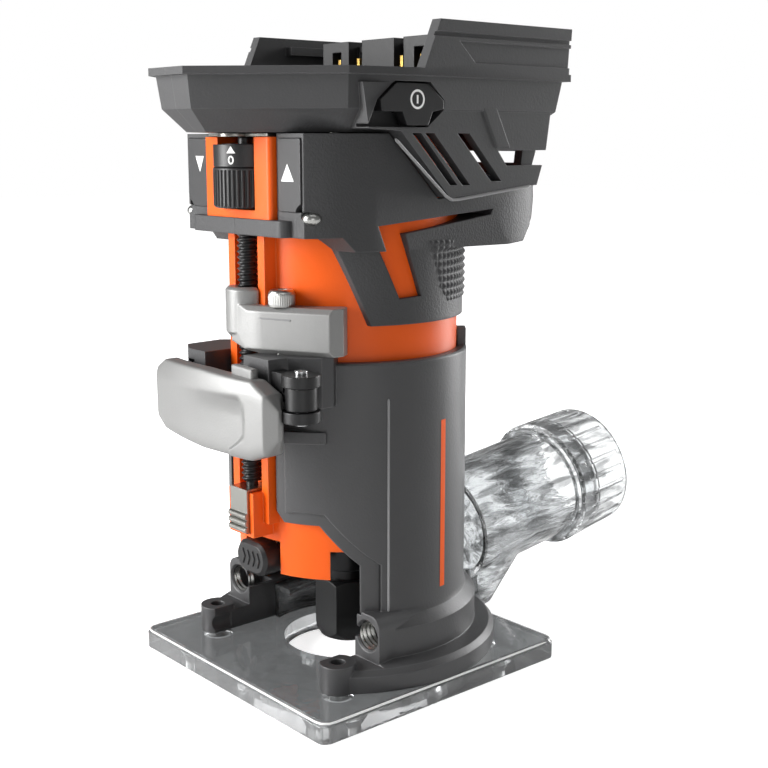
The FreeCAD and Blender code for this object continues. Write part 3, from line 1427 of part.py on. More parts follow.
def cooling_fan():
    low, hub = d.fan_bottom, d.spindle_radius + 3
    disc = rod("fan_disc", d.fan_radius, 1.5, (0, 0, low))
    boss = rod("fan_boss", hub, d.fan_height, (0, 0, low))
    blades = [spun(f"fan_blade_turned_{i}",
                   box(f"fan_blade_{i}", (hub - 1, -0.7, low), (d.fan_radius - 1, 0.7, low + d.fan_height)),
                   40 * i) for i in range(9)]
    hole = rod("fan_hole", d.spindle_radius - 0.5, WHOLE, (0, 0, 0))
    keep("cooling_fan", cut("fan", join("fan_blank", disc, boss, *blades), hole))


def bearing(node, radius, bore, low, width):
    blank = rod(node + "_blank", radius, width, (0, 0, low))
    hole = rod(node + "_hole", bore + d.shaft_clearance, WHOLE, (0, 0, 0))
    dish = cut(node + "_dish", rod(node + "_dish_outer", radius - 1.6, 0.4, (0, 0, low)),
               rod(node + "_dish_inner", bore + 1.6, WHOLE, (0, 0, 0)))
    keep(node, cut(node + "_rings", blank, hole, dish))


def bearings():
    bearing("lower_bearing", d.lower_bearing_radius, d.spindle_radius,
            d.lower_bearing_bottom, d.lower_bearing_width)
    bearing("upper_bearing", d.upper_bearing_radius, d.upper_journal_radius,
            d.upper_bearing_bottom, d.upper_bearing_width)


def bearing_plate():
    """Aluminium end plate that seats the lower bearing and guides the lock pin."""
    low, width = d.lower_bearing_bottom, d.lower_bearing_width
    disc = rod("plate_disc", d.plate_radius, 3, (0, 0, low + width - 2))
    hub = rod("plate_hub", d.lower_bearing_radius + 3, width + 1, (0, 0, low))
    guide = box("lock_guide", (-4, -d.lock_guide_front, d.lock_z - 4),
                (4, -(d.lower_bearing_radius - 1), low + 3))
    blank = join("plate_blank", disc, hub, guide)
    tools = [
        rod("bearing_bore", d.lower_bearing_radius + d.shaft_clearance, width, (0, 0, low)),
        rod("plate_hole", d.spindle_radius + 2, WHOLE, (0, 0, 0)),
        rod("lock_pin_way", d.lock_pin_radius + d.shaft_clearance, WHOLE, (0, 0, d.lock_z), "-Y"),
    ]
    tools += [spun(f"plate_vent_turned_{i}", rod(f"plate_vent_{i}", 3.4, WHOLE, (23, 0, 0)),
                   30 + 60 * i) for i in range(6)]
    keep("bearing_plate", cut("plate", blank, *tools))


def stator():
    low, height = d.stack_bottom, d.stack_height
    ring_wall = 4
    outer = rod("stator_outer", d.stator_radius, height, (0, 0, low))
    hollow = rod("stator_hollow", d.stator_radius - ring_wall, WHOLE, (0, 0, 0))
    teeth = [spun(f"tooth_turned_{i}",
                  box(f"tooth_{i}", (d.stator_bore - 1, -2.2, low),
                      (d.stator_radius - ring_wall + 0.5, 2.2, low + height)), 60 * i)
             for i in range(6)]
    bore = rod("stator_bore_tool", d.stator_bore, WHOLE, (0, 0, 0))
    keep("stator_core", cut("stator", join("stator_blank", cut("stator_ring", outer, hollow),
                                           *teeth), bore))
    coils = []
    for i in range(6):
        coil = box(f"coil_{i}", (d.stator_bore + 2, -5, low - d.winding_height / 2),
                   (d.stator_radius - ring_wall - 1.2, 5, low + height + d.winding_height / 2))
        tooth = box(f"coil_gap_{i}", (0, -2.2, low), (WHOLE, 2.2, low + height))
        coils.append(spun(f"coil_turned_{i}", cut(f"coil_loop_{i}", coil, tooth), 60 * i))
    keep("stator_windings", group("winding_set", *coils))


# --------------------------------------------------------------- spindle lock

def lock_button():
    """Oblong push cap on a round pin."""
    half, height = d.lock_cap_half_width, d.lock_cap_half_height
    middle = half - height
    parts = [box("lock_cap_middle", (-middle, -d.lock_face, d.lock_cap_z - height),
                 (middle, -(d.lock_face - d.lock_cap_length), d.lock_cap_z + height))]
    for name, side in (("right", 1), ("left", -1)):
        parts.append(rod(f"lock_cap_{name}", height, d.lock_cap_length,
                         (side * middle, -d.lock_face, d.lock_cap_z), "+Y"))
    front = -number(d.lock_face)
    cap = eased("lock_cap_eased", join("lock_cap", *parts), 1,
                lambda e: abs(e.BoundBox.YMax - front) < EDGE_CLOSE, "Part::Chamfer")
    pin = rod("lock_pin", d.lock_pin_radius, d.lock_face - d.lock_pin_tip - 2,
              (0, -(d.lock_face - 2), d.lock_z), "+Y")
    keep("lock_button", join("lock_button_solid", cap, pin))


def lock_spring():
    """Return spring round the pin, drawn as a stack of closed turns."""
    start = d.lock_face - d.lock_cap_length
    room = start - d.lock_guide_front
    turns = 5
    coils = []
    for i in range(turns):
        y = -(start - d.lock_spring_wire - (room - 2 * d.lock_spring_wire) * i / (turns - 1))
        coils.append(ring(f"spring_turn_{i}", d.lock_spring_radius - d.lock_spring_wire,
                          d.lock_spring_wire, (0, y, d.lock_z), ALONG["+Y"]))
    keep("lock_spring", group("spring_turns", *coils))


# ------------------------------------------------------- buttons and electrics

def power_button():
    back = d.button_face - d.button_thickness
    cap = slab("power_cap", button_outline(d.button_gap), d.button_thickness, "YZ", (back, 0, 0))
    stem = rod("power_stem", 1.6, 1, (back - 0.9, -9, d.tray_rim - 8.5), "+X")
    keep("power_button", join("power_button_solid", cap, stem))
    keep("button_switch", box("switch_body", (d.button_floor, -12, d.tray_rim - 11.5),
                              (d.button_floor + d.switch_thickness, -6, d.tray_rim - 5.5)))


def terminal_block():
    """Three towers on a back wall, with a contact blade in each of four gaps."""
    half, front = d.terminal_half_width, d.terminal_front
    floor, top = d.tray_floor, d.terminal_top
    parts = [box("block_wall", (-half, front + 3.6, floor),
                 (half, front + d.terminal_depth, top - 1.4))]
    for i, (low, high) in enumerate(((-half, -half / 2), (-half / 4, half / 3),
                                     (half / 2, half))):
        parts.append(box(f"block_tower_{i}", (low, front, floor),
                         (high, front + d.terminal_depth - 2, top)))
    slots, blades = [], []
    for i, x in enumerate((-0.73, -0.37, 0.42, 0.77)):
        x = half * x
        slots.append(box(f"blade_slot_{i}", (x - 2.1, front - 1, floor + 4),
                         (x + 2.1, front + d.blade_depth + 1, top - 3)))
        blades.append(box(f"blade_{i}", (x - d.blade_thickness / 2, front + 1, floor + 5.5),
                          (x + d.blade_thickness / 2, front + d.blade_depth + 1, top - 5)))
    for i, (x, y) in enumerate(head_screw_places()):
        slots.append(rod(f"block_screw_room_{i}", d.head_screw_radius * 2.2, 2.2, (x, y, floor)))
    keep("terminal_block", cut("block", join("block_blank", *parts), *slots))
    keep("battery_blades", group("blade_set", *blades))


def control_board():
    z, top = d.board_z, d.board_z + d.board_thickness
    board = box("board_blank", (-d.board_half_width, -d.board_front, z),
                (d.board_half_width, d.board_rear, top))
    keep("control_board", board)
    can = rod("capacitor_can", 5, 11, (-10, 4, top))
    keep("capacitor", eased("capacitor_eased", can, 0.8,
                            lambda e: e.BoundBox.ZMin > number(top) + 1))
    base = box("sink_base", (0, -10, top), (14, 14, top + 3))
    fins = [box(f"sink_fin_{i}", (i * 3, -10, top + 2), (i * 3 + 1.4, 14, top + 10))
            for i in range(5)]
    keep("heat_sink", join("sink", base, *fins))
    coil_top = d.stack_bottom + d.stack_height + d.winding_height / 2
    leads = [rod(f"lead_{i}", d.lead_radius, z - coil_top, (x, d.lead_y, coil_top))
             for i, x in enumerate(lead_places())]
    keep("stator_leads", group("lead_set", *leads))


for stage in (sub_base, sub_base_screws, base_casting, depth_bracket, depth_nut,
              bracket_cap_screw, clamp_bolt, clamp_nut, clamp_cam_pad, clamp_lever,
              clamp_hinge, clamp_pivot_pin, dust_chute, dust_elbow, dust_collar, motor_case, head_shell,
              head_screws, grip, chin_screws, arrow_panels, dial_frame, dial_clip, lead_screw,
              foot_clip, depth_dial, zero_ring, spindle, collet, collet_nut, rotor, cooling_fan,
              bearings, bearing_plate, stator, lock_button, lock_spring, power_button,
              terminal_block, control_board):
    stage()


# --------------------------------------------------------------------- export

def check_and_write():
    doc.recompute()
    for thing in doc.Objects:
        if "Invalid" in thing.State or "Error" in thing.State:
            raise RuntimeError(f"{thing.Name} failed: {thing.State}")
    os.makedirs("parts", exist_ok=True)
    for thing in kept:
        if thing.Shape.isNull() or not thing.Shape.isValid():
            raise RuntimeError(f"{thing.Label} has no valid shape")
        thing.Shape.exportStep(f"parts/{thing.Label}.step")
        print(f"{thing.Label}: {len(thing.Shape.Solids)} solids, {thing.Shape.Volume:.0f} mm3")


check_and_write()
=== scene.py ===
# %% [markdown]
# # A cordless trim router, dressed for its portrait
#
# The solids of this router come from a CAD program as a "frame": every screw, shell and
# shaft sits where the real one sits, and each one belongs to a body that can slide or turn.
# This lesson adds what a CAD export leaves out: soft edges, surface finish, threads,
# printed marks, light and a camera. Everything is in metres, with Z up, the spindle on the
# Z axis and the front of the tool facing -Y.

# %% Load the frame
import json
import math

import bmesh
import bpy
import numpy as np
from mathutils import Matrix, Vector
from mathutils.bvhtree import BVHTree

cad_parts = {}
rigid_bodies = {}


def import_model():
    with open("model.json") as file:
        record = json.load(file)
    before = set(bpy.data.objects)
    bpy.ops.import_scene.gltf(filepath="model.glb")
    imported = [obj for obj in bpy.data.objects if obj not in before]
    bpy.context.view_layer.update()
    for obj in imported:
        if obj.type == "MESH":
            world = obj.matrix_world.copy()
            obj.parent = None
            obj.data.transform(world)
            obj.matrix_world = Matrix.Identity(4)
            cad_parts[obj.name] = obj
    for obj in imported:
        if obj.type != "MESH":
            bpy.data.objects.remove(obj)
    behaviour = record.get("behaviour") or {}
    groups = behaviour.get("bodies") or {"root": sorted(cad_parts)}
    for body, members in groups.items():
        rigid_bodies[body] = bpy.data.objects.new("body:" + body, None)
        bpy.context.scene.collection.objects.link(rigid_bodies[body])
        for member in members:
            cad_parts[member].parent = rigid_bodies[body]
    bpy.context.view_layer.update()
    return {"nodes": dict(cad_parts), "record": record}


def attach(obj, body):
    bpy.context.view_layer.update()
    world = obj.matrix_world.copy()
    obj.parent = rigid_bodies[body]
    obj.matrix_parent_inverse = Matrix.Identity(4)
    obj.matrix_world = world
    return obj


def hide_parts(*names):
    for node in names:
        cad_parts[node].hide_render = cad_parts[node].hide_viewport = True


for old in list(bpy.data.objects):
    bpy.data.objects.remove(old)
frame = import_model()
mm = 0.001
print("nodes loaded:", len(frame["nodes"]))

# %% [markdown]
# ## Soft edges
#
# No moulded or cast edge is perfectly sharp: a tiny radius catches a line of light, and
# that line tells the eye how big the object is. The radius could be cut into every mesh
# with a Bevel modifier, but a CAD export is a net of thin triangles that such a modifier
# tears. The Bevel shader node rounds the shading instead. It is wrapped in a node group
# here, with the surface grain added on top, so that each finish only states its numbers.
# The group also paints a lighter colour along the rounded edges: a painted highlight.

# %% A helper that wires nodes together
def add_node(tree, kind, at=(0, 0), **settings):
    """One node of the given kind, with its plain settings."""
    node = tree.nodes.new(kind)
    node.location = at
    for key, value in settings.items():
        setattr(node, key, value)
    return node


def wire(tree, source, target):
    """A link; both ends are sockets."""
    tree.links.new(source, target)


def group_socket(tree, name, kind, way, value=None):
    """A named input or output of a node group."""
    socket = tree.interface.new_socket(name=name, in_out=way, socket_type=kind)
    if value is not None:
        socket.default_value = value
    return socket


# %% The group for moulded, cast and painted surfaces
def surface_group():
    """Grain height and rounded edges give a Normal; slow noise gives Colour and Roughness, and a
    painted highlight lightens the Colour along rounded edges.
    """
    tree = bpy.data.node_groups.new("moulded_surface", "ShaderNodeTree")
    group_socket(tree, "Colour", "NodeSocketColor", "INPUT", (0.5, 0.5, 0.5, 1))
    group_socket(tree, "Edge colour", "NodeSocketColor", "INPUT", (0.6, 0.6, 0.6, 1))
    for name, value in (("Edge radius", 0.0004), ("Edge highlight", 0.2), ("Grain size", 900.0),
                        ("Grain depth", 0.00004), ("Roughness", 0.5), ("Mottle", 0.05)):
        group_socket(tree, name, "NodeSocketFloat", "INPUT", value)
    group_socket(tree, "Colour", "NodeSocketColor", "OUTPUT")
    group_socket(tree, "Roughness", "NodeSocketFloat", "OUTPUT")
    group_socket(tree, "Normal", "NodeSocketVector", "OUTPUT")
    given = add_node(tree, "NodeGroupInput", (-900, 0))
    result = add_node(tree, "NodeGroupOutput", (900, 0))
    place = add_node(tree, "ShaderNodeTexCoord", (-900, -300))
    soft = add_node(tree, "ShaderNodeBevel", (-600, -500), samples=6)
    wire(tree, given.outputs["Edge radius"], soft.inputs["Radius"])
    grain = add_node(tree, "ShaderNodeTexNoise", (-600, -250))
    wire(tree, place.outputs["Object"], grain.inputs["Vector"])
    wire(tree, given.outputs["Grain size"], grain.inputs["Scale"])
    grain.inputs["Detail"].default_value = 2.0
    bump = add_node(tree, "ShaderNodeBump", (-200, -300))
    bump.inputs["Strength"].default_value = 1.0
    wire(tree, given.outputs["Grain depth"], bump.inputs["Distance"])
    wire(tree, grain.outputs["Fac"], bump.inputs["Height"])
    wire(tree, soft.outputs["Normal"], bump.inputs["Normal"])
    wire(tree, bump.outputs["Normal"], result.inputs["Normal"])

    slow = add_node(tree, "ShaderNodeTexNoise", (-600, 0))
    wire(tree, place.outputs["Object"], slow.inputs["Vector"])
    slow.inputs["Scale"].default_value = 45.0
    slow.inputs["Detail"].default_value = 5.0
    centred = add_node(tree, "ShaderNodeMath", (-400, 0), operation="SUBTRACT")
    wire(tree, slow.outputs["Fac"], centred.inputs[0])
    centred.inputs[1].default_value = 0.5
    swing = add_node(tree, "ShaderNodeMath", (-200, 0), operation="MULTIPLY")
    wire(tree, centred.outputs[0], swing.inputs[0])
    wire(tree, given.outputs["Mottle"], swing.inputs[1])
    lift = add_node(tree, "ShaderNodeMath", (0, 0), operation="MULTIPLY_ADD")
    wire(tree, swing.outputs[0], lift.inputs[0])
    lift.inputs[1].default_value = 2.0
    lift.inputs[2].default_value = 1.0
    tinted = add_node(tree, "ShaderNodeMix", (200, 100), data_type="RGBA", blend_type="MULTIPLY")
    tinted.inputs["Factor"].default_value = 1.0
    wire(tree, given.outputs["Colour"], tinted.inputs["A"])
    wire(tree, lift.outputs[0], tinted.inputs["B"])

    # Painted highlight: where the rounded normal bends away from the flat one, the colour is mixed
    # towards the lighter edge colour.
    flat = add_node(tree, "ShaderNodeNewGeometry", (-600, -750))
    bend = add_node(tree, "ShaderNodeVectorMath", (-350, -700), operation="DOT_PRODUCT")
    wire(tree, soft.outputs["Normal"], bend.inputs[0])
    wire(tree, flat.outputs["Normal"], bend.inputs[1])
    edge_amount = add_node(tree, "ShaderNodeMapRange", (-100, -700))
    wire(tree, bend.outputs["Value"], edge_amount.inputs["Value"])
    edge_amount.inputs["From Min"].default_value = 0.995
    edge_amount.inputs["From Max"].default_value = 0.86
    sheen_mix = add_node(tree, "ShaderNodeMath", (150, -700), operation="MULTIPLY")
    wire(tree, edge_amount.outputs["Result"], sheen_mix.inputs[0])
    wire(tree, given.outputs["Edge highlight"], sheen_mix.inputs[1])
    edged = add_node(tree, "ShaderNodeMix", (450, 100), data_type="RGBA")
    wire(tree, sheen_mix.outputs[0], edged.inputs["Factor"])
    wire(tree, tinted.outputs["Result"], edged.inputs["A"])
    wire(tree, given.outputs["Edge colour"], edged.inputs["B"])
    wire(tree, edged.outputs["Result"], result.inputs["Colour"])

    rough = add_node(tree, "ShaderNodeMath", (450, -150), operation="ADD", use_clamp=True)
    wire(tree, swing.outputs[0], rough.inputs[0])
    wire(tree, given.outputs["Roughness"], rough.inputs[1])
    wire(tree, rough.outputs[0], result.inputs["Roughness"])
    return tree


surface = surface_group()


# %% One call per finish
def linear(srgb):
    """Screen colour (0 to 1) to the linear light value that shaders work in."""
    return tuple(c / 12.92 if c <= 0.04045 else ((c + 0.055) / 1.055) ** 2.4 for c in srgb)


def hex_colour(code):
    """'#rrggbb' as a linear colour with full alpha."""
    return linear(tuple(int(code[i:i + 2], 16) / 255 for i in (1, 3, 5))) + (1.0,)


# Rounded edges are painted towards the edge colour as a highlight; one number sets how strongly.
def finish(name, colour, edge=None, radius=0.4, edge_sheen=0.2, grain=900.0, depth=0.04,
           rough=0.5, mottle=0.05, metal=0.0, specular=0.5, coat=0.0):
    """A Principled material fed by the shared surface group; lengths in millimetres."""
    material = bpy.data.materials.new(name)
    material.use_nodes = True
    tree = material.node_tree
    shader = tree.nodes["Principled BSDF"]
    skin = add_node(tree, "ShaderNodeGroup", (-350, 0), node_tree=surface)
    values = {"Colour": hex_colour(colour), "Edge colour": hex_colour(edge or colour),
              "Edge radius": radius * mm, "Edge highlight": edge_sheen, "Grain size": grain,
              "Grain depth": depth * mm, "Roughness": rough, "Mottle": mottle}
    for socket, value in values.items():
        skin.inputs[socket].default_value = value
    wire(tree, skin.outputs["Colour"], shader.inputs["Base Color"])
    wire(tree, skin.outputs["Roughness"], shader.inputs["Roughness"])
    wire(tree, skin.outputs["Normal"], shader.inputs["Normal"])
    shader.inputs["Metallic"].default_value = metal
    shader.inputs["Specular IOR Level"].default_value = specular
    shader.inputs["Coat Weight"].default_value = coat
    return material


def clear(name, face, edge, passing, stretch, ripple_depth, rim, shade_streak_level):
    """Clear plastic whose colour holds painted light and shade: grey on its level faces, pale on
    the others, painted darker at grazing angles and in grey streaks of stretched noise.

    Its look comes from Base Color; Metallic and Transmission Weight are plain numbers.
    """
    material = bpy.data.materials.new(name)
    material.use_nodes = True
    tree = material.node_tree
    shader = tree.nodes["Principled BSDF"]
    shader.inputs["Roughness"].default_value = 0.03
    shader.inputs["IOR"].default_value = 1.49
    shader.inputs["Transmission Weight"].default_value = passing
    place = add_node(tree, "ShaderNodeTexCoord", (-1300, -200))
    stretched = add_node(tree, "ShaderNodeMapping", (-1100, -200))
    stretched.inputs["Scale"].default_value = stretch
    wire(tree, place.outputs["Object"], stretched.inputs["Vector"])
    ripple = add_node(tree, "ShaderNodeTexNoise", (-900, -200))
    wire(tree, stretched.outputs["Vector"], ripple.inputs["Vector"])
    ripple.inputs["Scale"].default_value = 1.0
    ripple.inputs["Detail"].default_value = 3.0
    ripple.inputs["Distortion"].default_value = 0.6
    bump = add_node(tree, "ShaderNodeBump", (-350, -200))
    bump.inputs["Distance"].default_value = ripple_depth * mm
    wire(tree, ripple.outputs["Fac"], bump.inputs["Height"])
    soft = add_node(tree, "ShaderNodeBevel", (-650, -450), samples=4)
    soft.inputs["Radius"].default_value = 0.4 * mm
    wire(tree, soft.outputs["Normal"], bump.inputs["Normal"])
    wire(tree, bump.outputs["Normal"], shader.inputs["Normal"])

    # Painted light and shade: faces that lie level get the grey face colour, all other faces the
    # pale edge colour.
    facing = add_node(tree, "ShaderNodeNewGeometry", (-1300, 300))
    split = add_node(tree, "ShaderNodeSeparateXYZ", (-1100, 300))
    wire(tree, facing.outputs["True Normal"], split.inputs["Vector"])
    level = add_node(tree, "ShaderNodeMath", (-900, 300), operation="ABSOLUTE")
    wire(tree, split.outputs["Z"], level.inputs[0])
    mask = add_node(tree, "ShaderNodeMapRange", (-650, 300))
    wire(tree, level.outputs[0], mask.inputs["Value"])
    mask.inputs["From Min"].default_value = 0.9
    mask.inputs["From Max"].default_value = 0.99
    tint = add_node(tree, "ShaderNodeMix", (-350, 200), data_type="RGBA")
    wire(tree, mask.outputs["Result"], tint.inputs["Factor"])
    tint.inputs["A"].default_value = hex_colour(edge)
    tint.inputs["B"].default_value = hex_colour(face)
    # Painted shade: the colour darkens towards grazing angles, down to the rim factor.
    slant = add_node(tree, "ShaderNodeLayerWeight", (-650, 600))
    slant.inputs["Blend"].default_value = 0.35
    wire(tree, bump.outputs["Normal"], slant.inputs["Normal"])
    shade = add_node(tree, "ShaderNodeMapRange", (-350, 500))
    wire(tree, slant.outputs["Facing"], shade.inputs["Value"])
    shade.inputs["From Min"].default_value = 0.25
    shade.inputs["To Min"].default_value = 1.0
    shade.inputs["To Max"].default_value = rim
    # Painted shade: the stretched noise darkens the colour in streaks, down to the streak level.
    shade_streak = add_node(tree, "ShaderNodeMapRange", (-650, 0))
    wire(tree, ripple.outputs["Fac"], shade_streak.inputs["Value"])
    shade_streak.inputs["From Min"].default_value = 0.5
    shade_streak.inputs["From Max"].default_value = 0.6
    shade_streak.inputs["To Min"].default_value = 1.0
    shade_streak.inputs["To Max"].default_value = shade_streak_level
    depth = add_node(tree, "ShaderNodeMath", (-200, 450), operation="MULTIPLY")
    wire(tree, shade.outputs["Result"], depth.inputs[0])
    wire(tree, shade_streak.outputs["Result"], depth.inputs[1])
    dark = add_node(tree, "ShaderNodeMix", (-100, 300), data_type="RGBA", blend_type="MULTIPLY")
    dark.inputs["Factor"].default_value = 1.0
    wire(tree, tint.outputs["Result"], dark.inputs["A"])
    wire(tree, depth.outputs[0], dark.inputs["B"])
    wire(tree, dark.outputs["Result"], shader.inputs["Base Color"])
    return material


finishes = {
    "clear_acrylic": clear("clear_acrylic", "#868889", "#f4f6f7", 0.82, (230, 230, 120),
                           0.05, 0.9, 0.85),
    "smoke_clear": clear("smoke_clear", "#c2c4c5", "#e4e6e7", 0.92, (260, 60, 260), 0.5, 0.35,
                         0.3),
    "zinc_screw": finish("zinc_screw", "#b9b9b6", "#d8d8d6", rough=0.28, metal=1.0, depth=0.01),
    "cast_satin": finish("cast_satin", "#4a4a4b", "#8c8c8d", radius=0.5, edge_sheen=0.35, grain=1300,
                         depth=0.05, rough=0.4, mottle=0.1, metal=0.2),
    "silver_cast": finish("silver_cast", "#8c8c8b", "#c8c8c7", radius=0.7, edge_sheen=0.35, grain=1500,
                          depth=0.04, rough=0.42, mottle=0.1, metal=0.4),
    "black_oxide": finish("black_oxide", "#141415", "#3a3a3b", rough=0.38, depth=0.01),
    "orange_plastic": finish("orange_plastic", "#ee5d0e", "#fb9a5c", radius=0.4, edge_sheen=0.35,
                             grain=1600, depth=0.03, rough=0.4, mottle=0.04, specular=0.3),
    "dark_plastic": finish("dark_plastic", "#3f3f40", "#8a8a8b", radius=0.3, edge_sheen=0.4,
                           grain=1500, depth=0.05, rough=0.5, mottle=0.06),
    "grip_rubber": finish("grip_rubber", "#414142", "#6a6a6b", radius=0.6, edge_sheen=0.2, grain=1500,
                          depth=0.12, rough=0.5, mottle=0.12, specular=0.4),
    "panel_grey": finish("panel_grey", "#3a3a3b", "#5a5a5b", rough=0.35, depth=0.02),
    "bright_steel": finish("bright_steel", "#c9cacb", "#e2e2e3", rough=0.2, metal=1.0, depth=0.0),
    "spring_steel": finish("spring_steel", "#9b9a95", "#c4c4c2", rough=0.3, metal=1.0, depth=0.01),
    "aluminium_raw": finish("aluminium_raw", "#b4b6b8", "#d2d3d4", rough=0.34, metal=1.0),
    "lamination": finish("lamination", "#6b6d70", "#8f9194", rough=0.45, metal=1.0),
    "copper_wire": finish("copper_wire", "#a85a2c", "#c97b48", rough=0.35, metal=1.0, grain=700,
                          depth=0.3),
    "fan_black": finish("fan_black", "#1d1d1e", "#39393a", rough=0.45),
    "board_green": finish("board_green", "#0f5a33", "#2c7a50", rough=0.35),
    "can_black": finish("can_black", "#15151c", "#3a3a44", rough=0.3),
    "brass_blade": finish("brass_blade", "#c8a45a", "#e0c383", rough=0.3, metal=1.0),
    "button_black": finish("button_black", "#1c1c1d", "#4a4a4b", radius=0.3, edge_sheen=0.3,
                           grain=1400, depth=0.02, rough=0.4),
    "lead_red": finish("lead_red", "#a81c14", "#c4362c", rough=0.35),
}
print("finishes:", len(finishes))

# %% [markdown]
# ## Smooth shells from CAD triangles
#
# The frame's meshes are loose triangles. They could be shown as they are, but every
# curved wall would look cut from paper. A copy of each node, but for three that get finer
# shapes further down, is welded instead: points in the same place become one, edges under
# thirty degrees shade smoothly and the others stay crisp. The copy then stands for its node.

# %% Weld and shade a copy of a node
node_slot = {s["node"]: s["material_slot"] for s in frame["record"]["subparts"]}
node_body = {n: b for b, ns in frame["record"]["behaviour"]["bodies"].items() for n in ns}


weld_distance = 2e-6


def welded(node, angle=30.0):
    """Copy of a CAD node whose points are merged and whose shallow edges shade smoothly."""
    mesh = frame["nodes"][node].data.copy()
    work = bmesh.new()
    work.from_mesh(mesh)
    bmesh.ops.remove_doubles(work, verts=work.verts, dist=weld_distance)
    limit = math.radians(angle)
    for face in work.faces:
        face.smooth = True
    for edge in work.edges:
        edge.smooth = len(edge.link_faces) == 2 and edge.calc_face_angle(0) < limit
    work.to_mesh(mesh)
    work.free()
    if "custom_normal" in mesh.attributes:
        mesh.attributes.remove(mesh.attributes["custom_normal"])
    mesh.name = node + "_skin"
    piece = bpy.data.objects.new(node + "_skin", mesh)
    bpy.context.scene.collection.objects.link(piece)
    mesh.materials.clear()
    mesh.materials.append(finishes[node_slot[node]])
    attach(piece, node_body[node])
    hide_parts(node)
    return piece


rebuilt = ("clamp_lever", "lead_screw", "chin_screws")  # these get finer shapes further down
skins = {}
for node, solid in frame["nodes"].items():
    solid.data.materials.clear()
    solid.data.materials.append(finishes[node_slot[node]])
    if node not in rebuilt:
        skins[node] = welded(node)
skins["spindle"].data.materials[0] = finish("nose_steel", "#2c2c2d", "#77777a", rough=0.3,
                                            metal=0.8, depth=0.01)
print("skins:", len(skins))

# %% [markdown]
# ## Surfaces from formulas
#
# Threads, knurls, printed marks and the sculpted lever are too fine for the CAD solids.
# Each one is a sheet: two numbers u and v run from 0 to 1, a formula turns them into a
# point in millimetres, and neighbouring points are joined into quads. Whole arrays go
# through the formula at once, which is quick even for tens of thousands of points.

# %% Which way the faces of a sheet point
def face_outwards(work, core, inwards):
    """A closed mesh faces outwards; an open one faces away from its core, or towards it."""
    bmesh.ops.recalc_face_normals(work, faces=work.faces)
    if not any(edge.is_boundary for edge in work.edges):
        return
    centre = Vector(core or (0, 0, 0)) * mm
    out = 0.0
    for face in work.faces:
        way = face.calc_center_median() - centre
        if core is None:
            way.z = 0
        out += face.normal.dot(way) * face.calc_area()
    if (out < 0) != inwards:
        bmesh.ops.reverse_faces(work, faces=work.faces)


# %% A sheet of quads from a formula
def sheet(name, point, counts, slot, body, material=None, replaced=(), core=None,
          inwards=False):
    """The surface point(u, v); the counts say how many points run along u and v.

    Points in one place become one, so seams and poles close. Without a core, an open
    sheet faces away from the spindle axis.
    """
    u, v = np.meshgrid(*(np.linspace(0, 1, n) for n in counts), indexing="ij")
    points = np.stack(np.broadcast_arrays(*point(u, v)), axis=-1).reshape(-1, 3) * mm
    first = (np.arange(counts[0] - 1)[:, None] * counts[1] + np.arange(counts[1] - 1)).ravel()
    quads = np.stack([first, first + counts[1], first + counts[1] + 1, first + 1], axis=-1)
    mesh = bpy.data.meshes.new(name)
    mesh.vertices.add(len(points))
    mesh.vertices.foreach_set("co", points.ravel())
    mesh.loops.add(quads.size)
    mesh.loops.foreach_set("vertex_index", quads.ravel())
    mesh.polygons.add(len(quads))
    mesh.polygons.foreach_set("loop_start", np.arange(0, quads.size, 4))
    mesh.update(calc_edges=True)
    work = bmesh.new()
    work.from_mesh(mesh)
    bmesh.ops.remove_doubles(work, verts=work.verts, dist=0.001 * mm)
    face_outwards(work, core, inwards)
    for face in work.faces:
        face.smooth = True
    work.to_mesh(mesh)
    work.free()
    mesh.materials.append(material or finishes[slot])
    piece = bpy.data.objects.new(name, mesh)
    bpy.context.scene.collection.objects.link(piece)
    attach(piece, body)
    if replaced:
        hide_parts(*replaced)
    print(name, "faces:", len(mesh.polygons))
    return piece


# %% Three small formulas that many pieces share
def ramp(value, low, high):
    """0 below low, 1 above high, and a soft S between them: t t (3 - 2 t)."""
    t = np.clip((value - low) / (high - low), 0, 1)
    return t * t * (3 - 2 * t)


def zigzag(value):
    """A wave of period 1 that falls from 1 to 0 and rises back: |2 frac(value) - 1|."""
    return np.abs(2 * np.mod(value, 1) - 1)


def boxy(wave, power):
    """A sine or cosine pushed towards -1 and 1, which turns a circle into a soft box."""
    return np.sign(wave) * np.abs(wave) ** power


# %% [markdown]
# ## Threads
#
# A screw thread is a radius that rises and falls along the axis and shifts by one pitch
# for each turn: the same wave in z, delayed by the angle. The depth screw is black steel
# and stands in front of the motor case. The base's two guide holes are tapped, so their
# threads stand in from the wall and face the hole.

# %% The depth screw
screw_y = -35.3
screw_pitch = 1.5875
thread_depth = 0.75
screw_stations = (0, 0.001, 0.02, 0.021, 0.96, 0.961, 0.999, 1)
screw_heights = (57.4, 57.4, 62, 62, 139.8, 139.8, 159.4, 159.4)
screw_radii = (0, 1.7, 1.7, 2.99, 2.99, 2.4, 2.0, 0)


def lead_screw(u, v):
    """x = r sin a, y = y0 - r cos a, with r = plain radius - depth zigzag(z / pitch - u)."""
    angle = 2 * np.pi * u
    z = np.interp(v, screw_stations, screw_heights)
    plain = np.interp(v, screw_stations, screw_radii)
    threaded = plain > 2.9
    radius = plain - thread_depth * zigzag(z / screw_pitch - u) * threaded
    return radius * np.sin(angle), screw_y - radius * np.cos(angle), z


sheet("lead_screw_thread", lead_screw, (37, 620), "black_oxide", node_body["lead_screw"],
      replaced=("lead_screw",))

# %% The tapped guide holes
guide_x, guide_mouth_y, guide_z = 31.8, -18.6, 19.6
guide_pitch, guide_radius, guide_crest = 1.5, 4.22, 0.55


